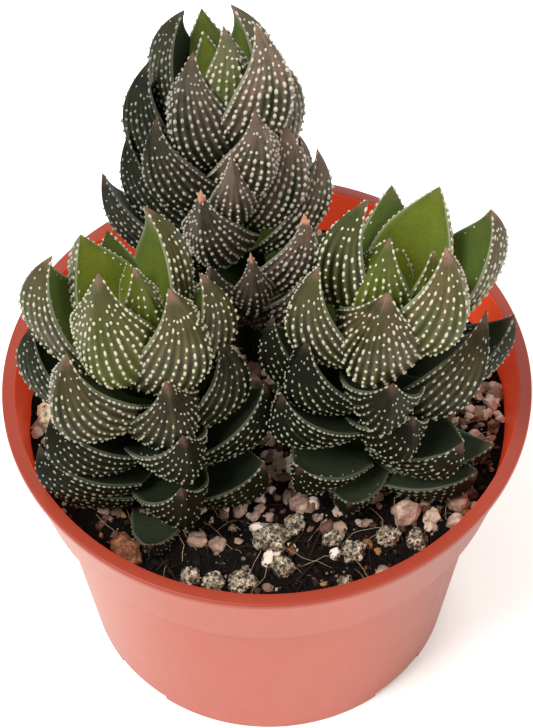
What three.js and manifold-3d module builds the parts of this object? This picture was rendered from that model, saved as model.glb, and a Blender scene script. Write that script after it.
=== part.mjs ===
// Potted haworthia: three leafy stems in a terracotta-coloured plastic nursery pot.
// Millimetres, +Z up. The origin is on the table, under the middle of the pot.
// Compass azimuths run from 0 at the front (-Y) over 90 at the right (+X) to 180 at the back.
import * as THREE from 'three';
import { mergeVertices } from 'three/addons/utils/BufferGeometryUtils.js';
import Module from 'manifold-3d';

const wasm = await Module();
wasm.setup();

// Pot: outer rim 105 mm across, 73 mm high
const POT_HEIGHT = 73;
const RIM_RADIUS = 52.5;
const LIP_WIDTH = 2.6;
const LIP_EDGE = 1.6;
const COLLAR_TOP_RADIUS = 52.0;
const COLLAR_FOOT_RADIUS = 48.0;
const COLLAR_FOOT_HEIGHT = 53.2;
const STEP_HEIGHT = 0.8;
const WALL_TOP_RADIUS = 45.3;
const FOOT_RADIUS = 39;
const FOOT_RING_WIDTH = 2.4;
const FOOT_RECESS = 1.8;
const WALL = 1.2;
const POT_SECTORS = 48;
const NOTCH_COUNT = 4;
const NOTCH_WIDTH = 13.6;
const DRAIN_LENGTH = 9;
const DRAIN_WIDTH = 4.5;
const POT_COLOUR = 0xc65a41;
const POT_ROUGHNESS = 0.45;

// Soil: a plug that fills the pot to about 10 mm below the rim
const SOIL_LEVEL = 62.5;
const SOIL_SECTORS = 32;
const SOIL_RINGS = [10, 20, 29, 37, 43];
const SOIL_EDGE_DEPTH = 2;
const MOUND_HEIGHT = 0.7;
const MOUND_WAVES = [0.17, 0.15];
const MOUND_SHIFTS = [0.6, -0.4];
const RIPPLE_HEIGHT = 0.45;
const RIPPLE_WAVES = [0.31, -0.22];
const RIPPLE_SHIFT = 1.1;
const WALL_SAG = 0.8;
const GAP = 0.3;
const SOIL_COLOUR = 0x2c241f;
const SOIL_ROUGHNESS = 0.95;

// Leafy stems: a slim core, its root stub in the soil and the leaves. Places along a leaf are shares of
// its length: where its drawn-in waist ends, where its point starts and stops to pinch, where its keel rises.
// The depth curve gives a leaf's thickness: its share at the root, how fast it grows and how fast it falls.
const STUB_DEPTH = 14;
const CORE_FOOT_RADIUS = 5.6;
const CORE_TOP_RADIUS = 3.6;
const CORE_BUD = 10;
const CORE_STRAIGHT = 0.3;
const CORE_SIDES = 10;
const LEAF_ROOT = 3;
const LEAF_WRAP = 12;
const LEAF_THICKNESS = 0.36;
const LEAF_KEEL = 0.7;
const LEAF_FILL = 0.4;
const WAIST = 0.5;
const WAIST_END = 0.2;
const FULLNESS = 0.96;
const SWELL = 0.42;
const PINCH_START = 0.55;
const PINCH_END = 0.95;
const KEEL_START = 0.15;
const KEEL_RISE = 0.6;
const DEPTH_CURVE = [0.48, 2.18, -1.84];
const LEAF_ROUGHNESS = 0.4;
const LEAF_ROWS = [0, 0.2, 0.38, 0.55, 0.71, 0.86];
const FIRST_STUDDED_ROW = 2;
const STUD_HEIGHT = 0.55;

const rad = THREE.MathUtils.degToRad;

// Leaves, youngest first: [azimuth, height of the root on the stem, length, width, lean, bend, sweep].
// Lean is the rise of the root from level, in degrees, and bend is how far the leaf curls up.
// Sweep, where there is one, is how far the tip strays sideways.
const LEFT_LEAVES = [
  [150, 45, 18, 7, 84, 10], [45, 43, 26, 12, 78, 14], [226, 41, 27, 17, 70, 16],
  [347, 42, 32, 19, 52, 58], [122, 39, 34, 16, 60, 40, 3.6], [268, 38, 34, 17, 38, 76],
  [52, 37, 32.5, 20, 46, 54], [192, 34, 31, 15, 62, 30], [86, 34.5, 32.5, 17, 35, 66],
  [324, 31, 32, 20, 24, 80], [272, 25, 32, 17, 24, 76], [225, 28, 27, 17, 44, 44],
  [155, 28, 27, 17, 44, 44], [28, 25.5, 27, 17.5, 26, 74], [77, 23, 31, 17, 22, 80],
  [308, 17, 29, 18, 20, 70], [250, 19, 25, 17, 26, 50], [190, 19, 25, 17, 30, 48],
  [26, 20, 27, 16.5, 12, 70], [130, 17, 25, 17, 24, 50], [78, 13.5, 32, 17, 14, 64],
  [300, 9, 29, 18, 12, 68], [222, 10, 24, 16, 16, 50], [160, 9, 24, 16, 16, 50],
  [293, 4, 25.5, 17, 9, 66], [20, 6, 25, 16, 8, 74], [64, 4, 27, 17, 4, 60],
  [108, 5, 23, 15, 12, 50], [357, -1, 21, 11, -6, 66],
];
const RIGHT_LEAVES = [
  [180, 46, 15, 8, 84, 10], [58, 43, 25, 12, 78, 14], [316, 45, 27, 15, 74, 22],
  [147, 45, 28, 18, 68, 14], [38, 44, 32, 18, 48, 62], [277, 45, 35, 16, 56, 50],
  [342, 40, 28, 21.5, 38, 68], [190, 38, 31, 17, 64, 16], [105, 41, 35, 17, 38, 62],
  [296, 38, 35, 17, 28, 72], [50, 23, 32, 19, 42, 52, 9], [240, 31, 27, 17, 46, 44],
  [90, 23, 33, 16, 24, 54], [358, 31.5, 26, 17, 12, 74], [305, 26, 32, 16.5, 22, 70],
  [165, 27, 27, 17, 38, 46], [215, 23, 26, 17, 32, 48], [286, 24, 35.5, 15, 25, 58],
  [306, 19, 30, 18, 10, 66], [46, 13.5, 25, 18, 8, 58], [17, 20, 23, 16, 14, 72],
  [130, 17, 25, 16, 22, 50], [58, 3, 26, 17, 4, 52], [322, 9, 25, 16, 2, 60],
  [185, 12, 25, 17, 20, 50], [284, 15, 23.5, 15, 10, 56], [74, 5, 26, 15, 4, 46],
  [350, 5, 19, 14, -2, 50], [238, 8, 23, 16, 12, 48], [142, 5, 23, 16, 8, 46],
];
const BACK_LEAVES = [
  [200, 54, 17, 8, 82, 8], [36, 52, 25, 12.5, 79, 12], [192, 46, 28, 18, 70, 20],
  [118, 46.5, 30.5, 15.5, 62, 46, 1.6], [250, 48, 30.5, 16, 58, 58], [328, 46.5, 27, 17, 54, 60],
  [58, 50, 30, 17.5, 46, 58], [280, 40, 32, 17.5, 40, 66], [215, 42, 28, 16, 60, 30],
  [30, 41, 27, 15, 32, 60], [100, 39, 29, 16, 48, 50], [165, 40, 28, 16, 58, 32],
  [308, 37, 27.5, 17, 34, 62], [235, 34, 27, 16, 46, 44], [62, 30, 29.5, 16, 41, 54],
  [145, 33, 27, 16, 46, 42], [286, 27.5, 32.5, 15, 34, 54], [9, 34, 26, 10.5, 30, 60],
  [190, 32, 26, 16, 44, 44], [82, 23, 29, 15, 30, 54], [250, 26, 26, 16, 36, 48],
  [346, 26, 28, 15, 24, 70], [282, 21, 34, 15, 24, 52], [55, 15.5, 27, 16, 28, 54],
  [120, 21, 26, 15, 32, 50], [168, 20, 26, 15, 32, 50], [13, 12.5, 28, 10.5, 18, 74],
  [305, 12, 25, 15, 26, 52], [42, 8, 25, 15, 18, 54], [212, 14, 25, 15, 24, 50],
  [90, 9, 25, 15, 20, 50], [145, 10, 24, 15, 20, 50], [258, 11, 25, 15, 20, 50],
  [346, 10, 26, 15, 24, 66], [196, 4, 21, 14, 14, 50],
];

// Each stem's foot on the soil, how far it leans and towards which azimuth, and how far its leaf tips
// are pinched in to a slender point
const STEMS = [
  {
    name: 'plant_back', foot: [-4, 20], tilt: 13.5, toward: 200, pinch: 0.42,
    colour: 0x4a5440, leaves: BACK_LEAVES,
  },
  {
    name: 'plant_left', foot: [-21, -17], tilt: 5, toward: 250, pinch: 0.32,
    colour: 0x4d6b32, leaves: LEFT_LEAVES,
  },
  {
    name: 'plant_right', foot: [17.5, -12], tilt: 6.5, toward: 95, pinch: 0.24,
    colour: 0x47702e, leaves: RIGHT_LEAVES,
  },
];

// Loose stones that lie on the soil: [x, y, length, breadth, height, turn]
const PUMICE_COLOUR = 0xb5ada2;
const PUMICE = [
  [0.7, -32, 6.6, 5.4, 4.6, 20], [5.2, -28.4, 4.4, 3.6, 3.2, 70], [12.3, -31.7, 3.8, 3.4, 3, 10],
  [16.5, -34.7, 4.8, 4.2, 3.8, 40], [2.7, -38.1, 4.8, 3.8, 3.4, 150], [23.2, -31.4, 4.8, 4.4, 3.8, 30],
  [28.8, -31.5, 4.8, 4, 3.6, 110], [-15.1, -39.2, 4.4, 3.8, 3.4, 60], [-10.6, -40.8, 4.2, 3.8, 3.2, 0],
  [-5.4, -41.2, 5.2, 4.2, 4, 15], [14.5, -42.3, 3.8, 3.2, 3, 80],
];
const PEBBLE_COLOUR = 0xb98f80;
const PEBBLES = [
  [-13.8, -31.4, 3.8, 3.4, 3.2, 0], [-9.9, -32.4, 3.4, 3.2, 3, 50], [6.3, -23.3, 4.2, 3.8, 3.4, 20],
  [26.8, -26.3, 5.6, 5, 4.6, 35], [37.4, -23.2, 5, 4.4, 4, 80], [36.8, -28.2, 4.6, 4, 3.6, 10],
  [22.2, -39.4, 4.6, 3.8, 3.4, 130], [-3.6, 5.6, 5.2, 4.6, 4.2, 15], [-1.6, 0.4, 4.8, 4.4, 3.8, 60],
];
const CLAY_COLOUR = 0x96573a;
const CLAY = [
  [-27.4, -34.2, 7, 5.4, 5, 120], [38.5, 6.5, 5.2, 4.6, 4.2, 40], [-43.6, -1.5, 5.8, 4.6, 4.6, 95],
];
const STONE_SINK = 0.3;
const STONE_CLEARANCE = 0.35;
const STONE_SIDES = 6;
const STONE_BANDS = 4;
const STONE_LUMPS = 0.09;
const STONE_WAVES = [5, 4, 6];
const STONE_ROUGHNESS = 0.9;

// Height of the soil surface: low mounds, slightly lower along the wall
function soilHeight(x, y) {
  const [swell, dip] = [MOUND_WAVES[0] * x + MOUND_SHIFTS[0], MOUND_WAVES[1] * y + MOUND_SHIFTS[1]];
  const mounds = MOUND_HEIGHT * Math.sin(swell) * Math.cos(dip);
  const ripples = RIPPLE_HEIGHT * Math.sin(RIPPLE_WAVES[0] * x + RIPPLE_WAVES[1] * y + RIPPLE_SHIFT);
  const edge = Math.hypot(x, y) / RIM_RADIUS;
  return SOIL_LEVEL + mounds + ripples - WALL_SAG * edge ** 4;
}

// Radius of the pot's inner face at a height
function innerRadius(z) {
  const collarFoot = COLLAR_FOOT_HEIGHT + WALL;
  if (z >= collarFoot) {
    const rise = (z - collarFoot) / (POT_HEIGHT - collarFoot);
    return THREE.MathUtils.lerp(COLLAR_FOOT_RADIUS - WALL, RIM_RADIUS - LIP_WIDTH, rise);
  }
  return THREE.MathUtils.lerp(FOOT_RADIUS - WALL, WALL_TOP_RADIUS - WALL, z / COLLAR_FOOT_HEIGHT);
}

// Geometry from a list of points and triangles
function facetedGeometry(points, faces) {
  const geometry = new THREE.BufferGeometry();
  geometry.setAttribute('position', new THREE.Float32BufferAttribute(points.flat(), 3));
  geometry.setIndex(faces.flat());
  return geometry;
}

// Closed solid for joining and cutting
function solidFrom(geometry) {
  const bare = geometry.clone();
  bare.deleteAttribute('normal');
  bare.deleteAttribute('uv');
  const merged = mergeVertices(bare, 1e-4);
  return new wasm.Manifold(new wasm.Mesh({
    numProp: 3,
    vertProperties: new Float32Array(merged.attributes.position.array),
    triVerts: new Uint32Array(merged.index.array),
  }));
}

// Geometry of a solid's largest shell: sealed hollows are filled and loose scraps dropped
function geometryFrom(solid) {
  const { vertProperties, triVerts } = solid.getMesh();
  const parent = Array.from({ length: vertProperties.length / 3 }, (_, i) => i);
  const find = (i) => {
    let root = i;
    while (parent[root] !== root) root = parent[root];
    while (parent[i] !== root) [parent[i], i] = [root, parent[i]];
    return root;
  };
  const corner = (i) => new THREE.Vector3().fromArray(vertProperties, 3 * i);
  for (let i = 0; i < triVerts.length; i += 3) {
    parent[find(triVerts[i])] = find(triVerts[i + 1]);
    parent[find(triVerts[i + 1])] = find(triVerts[i + 2]);
  }
  const volumes = new Map();
  for (let i = 0; i < triVerts.length; i += 3) {
    const shell = find(triVerts[i]);
    const [a, b, c] = [corner(triVerts[i]), corner(triVerts[i + 1]), corner(triVerts[i + 2])];
    volumes.set(shell, (volumes.get(shell) ?? 0) + a.dot(b.cross(c)) / 6);
  }
  const largest = [...volumes.entries()].reduce((best, entry) => (entry[1] > best[1] ? entry : best))[0];
  const kept = [];
  for (let i = 0; i < triVerts.length; i += 3) {
    if (find(triVerts[i]) === largest) kept.push(triVerts[i], triVerts[i + 1], triVerts[i + 2]);
  }
  const geometry = new THREE.BufferGeometry();
  geometry.setAttribute('position', new THREE.BufferAttribute(new Float32Array(vertProperties), 3));
  geometry.setIndex(kept);
  const compact = geometry.toNonIndexed();
  const merged = mergeVertices(compact, 1e-5);
  merged.computeVertexNormals();
  return merged;
}

// Lathe about +Z from [radius, height] pairs that run from the axis back to the axis
function latheAboutZ(profile, sectors) {
  const points = profile.map(([radius, height]) => new THREE.Vector2(radius, height));
  const geometry = new THREE.LatheGeometry(points, sectors);
  geometry.rotateX(Math.PI / 2);
  return geometry;
}

function mesh(name, geometry, colour, roughness) {
  const material = new THREE.MeshStandardMaterial({ color: colour, roughness, metalness: 0 });
  const object = new THREE.Mesh(geometry, material);
  object.name = name;
  return object;
}

// Pot with its flat lip, tapered collar, inward step, foot ring, four notches and drain holes
function buildPot() {
  const floorTop = FOOT_RECESS + WALL;
  const collarFoot = COLLAR_FOOT_HEIGHT + WALL;
  const profile = [
    [0, FOOT_RECESS],
    [FOOT_RADIUS - FOOT_RING_WIDTH, FOOT_RECESS],
    [FOOT_RADIUS - FOOT_RING_WIDTH, 0],
    [FOOT_RADIUS, 0],
    [WALL_TOP_RADIUS, COLLAR_FOOT_HEIGHT - STEP_HEIGHT],
    [COLLAR_FOOT_RADIUS, COLLAR_FOOT_HEIGHT],
    [COLLAR_TOP_RADIUS, POT_HEIGHT - LIP_EDGE],
    [RIM_RADIUS, POT_HEIGHT - LIP_EDGE],
    [RIM_RADIUS, POT_HEIGHT],
    [RIM_RADIUS - LIP_WIDTH, POT_HEIGHT],
    [innerRadius(collarFoot), collarFoot],
    [innerRadius(COLLAR_FOOT_HEIGHT - STEP_HEIGHT), COLLAR_FOOT_HEIGHT - STEP_HEIGHT],
    [innerRadius(floorTop), floorTop],
    [0, floorTop],
  ];
  let pot = solidFrom(latheAboutZ(profile, POT_SECTORS));
  for (let i = 0; i < NOTCH_COUNT; i += 1) {
    const turn = Math.PI / 4 + (i * 2 * Math.PI) / NOTCH_COUNT;
    const notch = new THREE.BoxGeometry(4 * FOOT_RING_WIDTH, NOTCH_WIDTH, 2 * FOOT_RECESS);
    notch.translate(FOOT_RADIUS, 0, 0);
    notch.rotateZ(turn);
    const drain = new THREE.BoxGeometry(DRAIN_WIDTH, DRAIN_LENGTH, 4 * floorTop);
    drain.translate(FOOT_RADIUS - 2 * FOOT_RING_WIDTH - DRAIN_WIDTH, 0, 0);
    drain.rotateZ(turn);
    pot = pot.subtract(solidFrom(notch)).subtract(solidFrom(drain));
  }
  return mesh('pot', geometryFrom(pot), POT_COLOUR, POT_ROUGHNESS);
}

// Plug with a mounded top, its surface raised by lift, that clears the pot's wall and floor
function soilPlug(lift, clearance) {
  const points = [[0, 0, soilHeight(0, 0) + lift]];
  const ring = (radius, heightAt) => {
    for (let i = 0; i < SOIL_SECTORS; i += 1) {
      const turn = (i * 2 * Math.PI) / SOIL_SECTORS;
      const x = radius * Math.cos(turn);
      const y = radius * Math.sin(turn);
      points.push([x, y, heightAt(x, y)]);
    }
  };
  const surface = (x, y) => soilHeight(x, y) + lift;
  SOIL_RINGS.forEach((radius) => ring(radius, surface));
  ring(innerRadius(SOIL_LEVEL - SOIL_EDGE_DEPTH) - clearance, surface);
  const bottom = FOOT_RECESS + WALL + clearance;
  const sides = [COLLAR_FOOT_HEIGHT + 2 * WALL, COLLAR_FOOT_HEIGHT - STEP_HEIGHT, bottom];
  sides.forEach((z) => ring(innerRadius(z) - clearance, () => z));
  const rings = SOIL_RINGS.length + 1 + sides.length;
  const last = points.push([0, 0, bottom]) - 1;
  const at = (level, i) => 1 + level * SOIL_SECTORS + (i % SOIL_SECTORS);
  const faces = [];
  for (let i = 0; i < SOIL_SECTORS; i += 1) {
    faces.push([0, at(0, i), at(0, i + 1)]);
    for (let level = 0; level < rings - 1; level += 1) {
      faces.push([at(level, i), at(level + 1, i), at(level + 1, i + 1)]);
      faces.push([at(level, i), at(level + 1, i + 1), at(level, i + 1)]);
    }
    faces.push([last, at(rings - 1, i + 1), at(rings - 1, i)]);
  }
  return facetedGeometry(points, faces);
}

// Half-width of a leaf along its length, as a share of the full half-width: drawn in at the root,
// and pinched towards the point
function leafWidth(t, pinch) {
  const point = 1 - pinch * THREE.MathUtils.smoothstep(t, PINCH_START, PINCH_END);
  const waist = WAIST + (1 - WAIST) * Math.min(1, t / WAIST_END);
  return point * waist * (1 - t * t) * (FULLNESS + SWELL * t);
}

// Thickness of a leaf along its length, as a share of the full thickness
function leafDepth(t) {
  const [base, slope, fall] = DEPTH_CURVE;
  return (base + slope * t + fall * t * t) * (1 - t ** 4);
}

// One thick curled leaf: channelled inner face, keeled outer face with rows of raised tubercles
function leafGeometry([azimuth, height, length, width, lean, bend, sweep = 0], pinch) {
  const start = rad(lean);
  const curl = rad(bend);
  const facing = rad(azimuth);
  const reach = length / curl;
  const place = (t, s, outer) => {
    const angle = start + curl * t;
    const radial = LEAF_ROOT + reach * (Math.sin(angle) - Math.sin(start));
    const rise = height - reach * (Math.cos(angle) - Math.cos(start));
    const spread = ((width / 2) * leafWidth(t, pinch)) / LEAF_WRAP;
    const side = LEAF_WRAP * Math.sin(s * spread) + sweep * t * t;
    const keel = LEAF_KEEL * THREE.MathUtils.clamp((t - KEEL_START) / KEEL_RISE, 0, 1);
    const crown = (1 - keel) * (1 - s * s) + keel * (1 - Math.abs(s));
    const fill = LEAF_FILL * LEAF_WRAP * (1 - Math.cos(spread)) * (1 - s * s);
    const depth = outer ? LEAF_THICKNESS * width * leafDepth(t) * crown : -fill;
    const offset = depth - LEAF_WRAP * (1 - Math.cos(s * spread));
    const out = radial + offset * Math.sin(angle);
    return new THREE.Vector3(
      side * Math.cos(facing) + out * Math.sin(facing),
      side * Math.sin(facing) - out * Math.cos(facing),
      rise - offset * Math.cos(angle),
    );
  };
  const columnsAt = (row) => (row < FIRST_STUDDED_ROW ? [-1, 0, 1] : [-1, -0.5, 0, 0.5, 1]);
  const points = [];
  const add = (point) => points.push(point.toArray()) - 1;
  const outer = LEAF_ROWS.map((t, row) => columnsAt(row).map((s) => add(place(t, s, true))));
  const inner = LEAF_ROWS.map((t) => add(place(t, 0, false)));
  const tip = add(place(1, 0, true));
  const corner = (i) => new THREE.Vector3().fromArray(points[i]);
  const faces = [];
  const addStud = (a, b, c, d) => {
    const across = corner(c).sub(corner(a));
    const along = corner(d).sub(corner(b));
    const raised = across.cross(along).setLength(STUD_HEIGHT);
    [a, b, c, d].forEach((i) => raised.addScaledVector(corner(i), 0.25));
    const stud = add(raised);
    faces.push([a, b, stud], [b, c, stud], [c, d, stud], [d, a, stud]);
  };
  for (let row = 0; row < LEAF_ROWS.length - 1; row += 1) {
    const [low, high] = [outer[row], outer[row + 1]];
    const fold = (high.length - 1) / (low.length - 1);
    for (let j = 0; j < low.length - 1; j += 1) {
      const [a, b] = [low[j], low[j + 1]];
      const [d, c] = [high[fold * j], high[fold * (j + 1)]];
      if (row >= FIRST_STUDDED_ROW) addStud(a, b, c, d);
      else if (fold === 1) faces.push([a, b, c], [a, c, d]);
      else faces.push([a, b, high[fold * j + 1]], [b, c, high[fold * j + 1]], [a, high[fold * j + 1], d]);
    }
    faces.push([low[0], high[0], inner[row + 1]], [low[0], inner[row + 1], inner[row]]);
    faces.push([inner[row], inner[row + 1], high.at(-1)], [inner[row], high.at(-1), low.at(-1)]);
  }
  const root = outer[0];
  for (let j = 0; j < root.length - 1; j += 1) faces.push([inner[0], root[j + 1], root[j]]);
  const top = LEAF_ROWS.length - 1;
  for (let j = 0; j < outer[top].length - 1; j += 1) faces.push([outer[top][j], outer[top][j + 1], tip]);
  faces.push([outer[top][0], tip, inner[top]], [inner[top], tip, outer[top].at(-1)]);
  return facetedGeometry(points, faces);
}

// Stem core with its root stub; grow widens it to make the hole in the soil
function coreGeometry(height, grow = 0) {
  return latheAboutZ([
    [0, -STUB_DEPTH - grow],
    [CORE_FOOT_RADIUS + grow, -STUB_DEPTH - grow],
    [CORE_FOOT_RADIUS + grow, height * CORE_STRAIGHT],
    [CORE_TOP_RADIUS + grow, height - CORE_BUD / 2],
    [0, height + CORE_BUD / 2 + grow],
  ], CORE_SIDES);
}

// Where a stem stands and how it leans
function stemMatrix({ foot, tilt, toward }) {
  const heading = rad(toward);
  const lean = new THREE.Vector3(Math.sin(heading), -Math.cos(heading), 0);
  lean.multiplyScalar(Math.sin(rad(tilt)));
  lean.z = Math.cos(rad(tilt));
  const turn = new THREE.Quaternion().setFromUnitVectors(new THREE.Vector3(0, 0, 1), lean);
  return new THREE.Matrix4().compose(
    new THREE.Vector3(foot[0], foot[1], SOIL_LEVEL),
    turn,
    new THREE.Vector3(1, 1, 1),
  );
}

const stemTop = ({ leaves }) => Math.max(...leaves.map((leaf) => leaf[1]));

// Leafy stem: the leaves are cut clear of the soil, then joined to the core
function buildStem(stem) {
  const matrix = stemMatrix(stem);
  const leaves = stem.leaves.map((leaf) => solidFrom(leafGeometry(leaf, stem.pinch)));
  const ground = soilPlug(GAP, -GAP);
  ground.applyMatrix4(matrix.clone().invert());
  const foliage = wasm.Manifold.union(leaves).subtract(solidFrom(ground));
  const whole = foliage.add(solidFrom(coreGeometry(stemTop(stem))));
  const object = mesh(stem.name, geometryFrom(whole), stem.colour, LEAF_ROUGHNESS);
  object.applyMatrix4(matrix);
  return object;
}

// Rough rounded stone about its own middle; grow widens it to make its dent in the soil
function stoneGeometry([, , length, breadth, height, turn], grow = 0) {
  const geometry = new THREE.SphereGeometry(1, STONE_SIDES, STONE_BANDS);
  const position = geometry.attributes.position;
  const point = new THREE.Vector3();
  for (let i = 0; i < position.count; i += 1) {
    point.fromBufferAttribute(position, i);
    const [along, across] = [STONE_WAVES[0] * point.x + length * 3, STONE_WAVES[1] * point.y + turn];
    const lumps = Math.sin(along) + Math.sin(across) + Math.sin(STONE_WAVES[2] * point.z);
    point.multiplyScalar(1 + STONE_LUMPS * lumps);
    point.multiply(new THREE.Vector3(length / 2 + grow, height / 2 + grow, breadth / 2 + grow));
    position.setXYZ(i, point.x, point.y, point.z);
  }
  geometry.rotateX(Math.PI / 2);
  geometry.rotateZ(rad(turn));
  return geometry;
}

function stonePlace([x, y, , , height]) {
  return new THREE.Vector3(x, y, soilHeight(x, y) + height * (0.5 - STONE_SINK));
}

function buildStones(rows, kind, colour) {
  return rows.map((row, i) => {
    const geometry = geometryFrom(solidFrom(stoneGeometry(row)));
    const object = mesh(`${kind}_${String(i + 1).padStart(2, '0')}`, geometry, colour, STONE_ROUGHNESS);
    object.position.copy(stonePlace(row));
    return object;
  });
}

// Soil with three plain stem holes and a dent under each stone
function buildSoil() {
  let soil = solidFrom(soilPlug(0, GAP));
  STEMS.forEach((stem) => {
    const hole = coreGeometry(stemTop(stem), GAP);
    hole.applyMatrix4(stemMatrix(stem));
    soil = soil.subtract(solidFrom(hole));
  });
  [...PUMICE, ...PEBBLES, ...CLAY].forEach((row) => {
    const dent = stoneGeometry(row, STONE_CLEARANCE);
    dent.translate(...stonePlace(row).toArray());
    soil = soil.subtract(solidFrom(dent));
  });
  return mesh('soil', geometryFrom(soil), SOIL_COLOUR, SOIL_ROUGHNESS);
}

const plant = new THREE.Group();
plant.add(buildPot());
plant.add(buildSoil());
STEMS.forEach((stem) => plant.add(buildStem(stem)));
plant.add(...buildStones(PUMICE, 'pumice', PUMICE_COLOUR));
plant.add(...buildStones(PEBBLES, 'pebble', PEBBLE_COLOUR));
plant.add(...buildStones(CLAY, 'clay_lump', CLAY_COLOUR));

export default plant;
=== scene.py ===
import math
from collections import namedtuple

import bmesh
import bpy
import numpy as np
from mathutils import Matrix, Vector, noise


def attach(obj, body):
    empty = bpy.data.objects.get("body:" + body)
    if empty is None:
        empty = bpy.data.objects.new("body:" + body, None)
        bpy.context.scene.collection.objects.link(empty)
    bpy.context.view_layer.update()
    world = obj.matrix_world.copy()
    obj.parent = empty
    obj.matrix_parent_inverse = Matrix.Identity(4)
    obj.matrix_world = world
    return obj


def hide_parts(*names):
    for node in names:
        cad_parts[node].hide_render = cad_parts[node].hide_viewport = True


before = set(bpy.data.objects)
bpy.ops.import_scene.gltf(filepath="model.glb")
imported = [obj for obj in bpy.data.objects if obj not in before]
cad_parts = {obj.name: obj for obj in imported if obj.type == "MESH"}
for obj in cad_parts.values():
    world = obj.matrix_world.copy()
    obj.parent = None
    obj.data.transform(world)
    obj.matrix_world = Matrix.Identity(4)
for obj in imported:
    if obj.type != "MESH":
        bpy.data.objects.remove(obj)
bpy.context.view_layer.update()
MM = 0.001
SEED = 7
TINY = 1e-9

# Camera: its lens, how many degrees it looks down and rolls, and its place in metres
LENS = 117.8
LOOK_DOWN = 53.4
ROLL = -0.75
CAMERA_PLACE = (0, -0.2796, 0.4539)

# Studio: soft lamps that all aim at one point, each with its name, place, size, power and tint; the strength
# of the sky; and how far the floor reaches from the pot
LAMP_AIM = (0, 0, 0.08)
LAMPS = [
    ("key_softbox", (-0.42, -0.32, 0.92), 0.45, 11.8, (0.98, 0.99, 1)),
    ("fill_softbox", (0.6, -0.4, 0.6), 0.6, 3.4, (1, 0.94, 0.86)),
    ("back_softbox", (0.1, 0.8, 0.6), 0.6, 3.2, (1, 1, 1)),
]
SKY_STRENGTH = 0.74
FLOOR_REACH = 1500

# Pot: flat lip, tapered collar, inward step, tapered wall and a foot ring with notches
POT_HEIGHT = 73
RIM_RADIUS = 52.5
LIP_WIDTH = 2.6
LIP_EDGE = 1.6
COLLAR_TOP_RADIUS = 52.0
COLLAR_FOOT_RADIUS = 48.0
COLLAR_FOOT_HEIGHT = 53.2
STEP_HEIGHT = 0.8
WALL_TOP_RADIUS = 45.3
FOOT_RADIUS = 39
FOOT_RING_WIDTH = 2.4
FOOT_RECESS = 1.8
WALL = 1.2
NOTCH_COUNT = 4
NOTCH_WIDTH = 13.6
DRAIN_LENGTH = 9
DRAIN_WIDTH = 4.5
POT_SECTORS = 192
FILLET_STEPS = 4
CREASE_ANGLE = 40

# Soil: low mounds and ripples that sag towards the wall, under a relief of clods and crumbs. The gaps keep
# its sides and its top edge clear of the pot.
SOIL_LEVEL = 62.5
MOUND_HEIGHT = 0.7
MOUND_WAVES = (0.17, 0.15)
MOUND_SHIFTS = (0.6, -0.4)
RIPPLE_HEIGHT = 0.45
RIPPLE_WAVES = (0.31, -0.22)
RIPPLE_SHIFT = 1.1
WALL_SAG = 0.8
GAP = 0.3
TOP_GAP = 0.25
SOIL_SECTORS = 216
SOIL_RING_COUNT = 58
SOIL_RING_BIAS = 0.72
RELIEF_HEIGHT = 0.75
RELIEF_LIMITS = (-1.2, 1.6)
CLOD_SIZE = 4.5
CRUMB_SIZE = 1.6
CRUMB_SHARE = 0.6

# Sheet just over the soil, on which the chips are strewn: points along a side, gap to the wall, and height;
# and how many shapes the chips have
SHEET_SIDE = 61
SHEET_GAP = 1.2
SHEET_RISE = 0.2
CHIP_SHAPES = 4

# Fibres: how far out they may start and run, the length and least number of their steps, and how high they
# rest over the soil
FIBRE_START = 45
FIBRE_REACH = 46
FIBRE_STEP = 1.5
FEWEST_STEPS = 5
FIBRE_REST = 0.35

# Leafy stems: a slim core with its root stub, and the leaves. Places along a leaf are shares of its length:
# where its waist ends, where its point starts to pinch and its keel to rise, and over how much of it they do.
# The depth curve gives a leaf's thickness: its share at the root, how fast it grows and how fast it falls.
# Then come the rows and columns of points, the places across a leaf at which its rows of tubercles are
# measured, and the fewest rows.
STUB_DEPTH = 14
CORE_FOOT_RADIUS = 5.6
CORE_TOP_RADIUS = 3.6
CORE_BUD = 10
CORE_STRAIGHT = 0.3
CORE_SIDES = 20
LEAF_ROOT = 3
LEAF_WRAP = 12
LEAF_THICKNESS = 0.36
LEAF_KEEL = 0.7
LEAF_FILL = 0.4
WAIST = 0.5
WAIST_END = 0.2
FULLNESS = 0.96
SWELL = 0.42
PINCH_START = 0.55
PINCH_RUN = 0.4
KEEL_START = 0.15
KEEL_RUN = 0.6
KEEL_TOP = 1.08
KEEL_ROUNDING = 0.0064
DEPTH_CURVE = (0.48, 2.18, -1.84)
EDGE_THICKNESS = 0.15
EDGE_FADE = 0.3
LEAF_ROWS = 30
ROW_CROWDING = 1.12
OUTER_COLUMNS = 20
INNER_COLUMNS = 10
SECTION = np.linspace(-1, 1, 81)
FEWEST_ROWS = 3

# Tubercles: their size, and their spacing along a row in proportion to that of the rows. As shares of the
# leaf, where a row starts, how far it runs, and where and over how much it thins out. Each tubercle strays by
# a share of the spacing, and they stand closest where the leaf has its full half-width. Some are drawn out
# into dashes, by these amounts and with these odds.
BEAD_WIDTH = 0.64
BEAD_HEIGHT = 0.8
BEAD_PITCH = 0.95
BEAD_START = 0.13
BEAD_RUN = 0.8
BEAD_JITTER = 0.14
FULL_HALF_WIDTH = 8.5
THINNING_START = 0.68
THINNING_RUN = 0.27
DASHES = [0, 0.4, 0.9, 1.5]
DASH_ODDS = [0.3, 0.3, 0.26, 0.14]

# Tubercles along the margins, and the few on inner faces: spacing, how far out they stand, and where they end
MARGIN_PITCH = 1.2
MARGIN_PLACE = 0.992
MARGIN_ENDS = (0.2, 0.97)
INNER_PITCH = 2.4
INNER_PLACE = 0.8
INNER_END = 0.8

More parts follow.
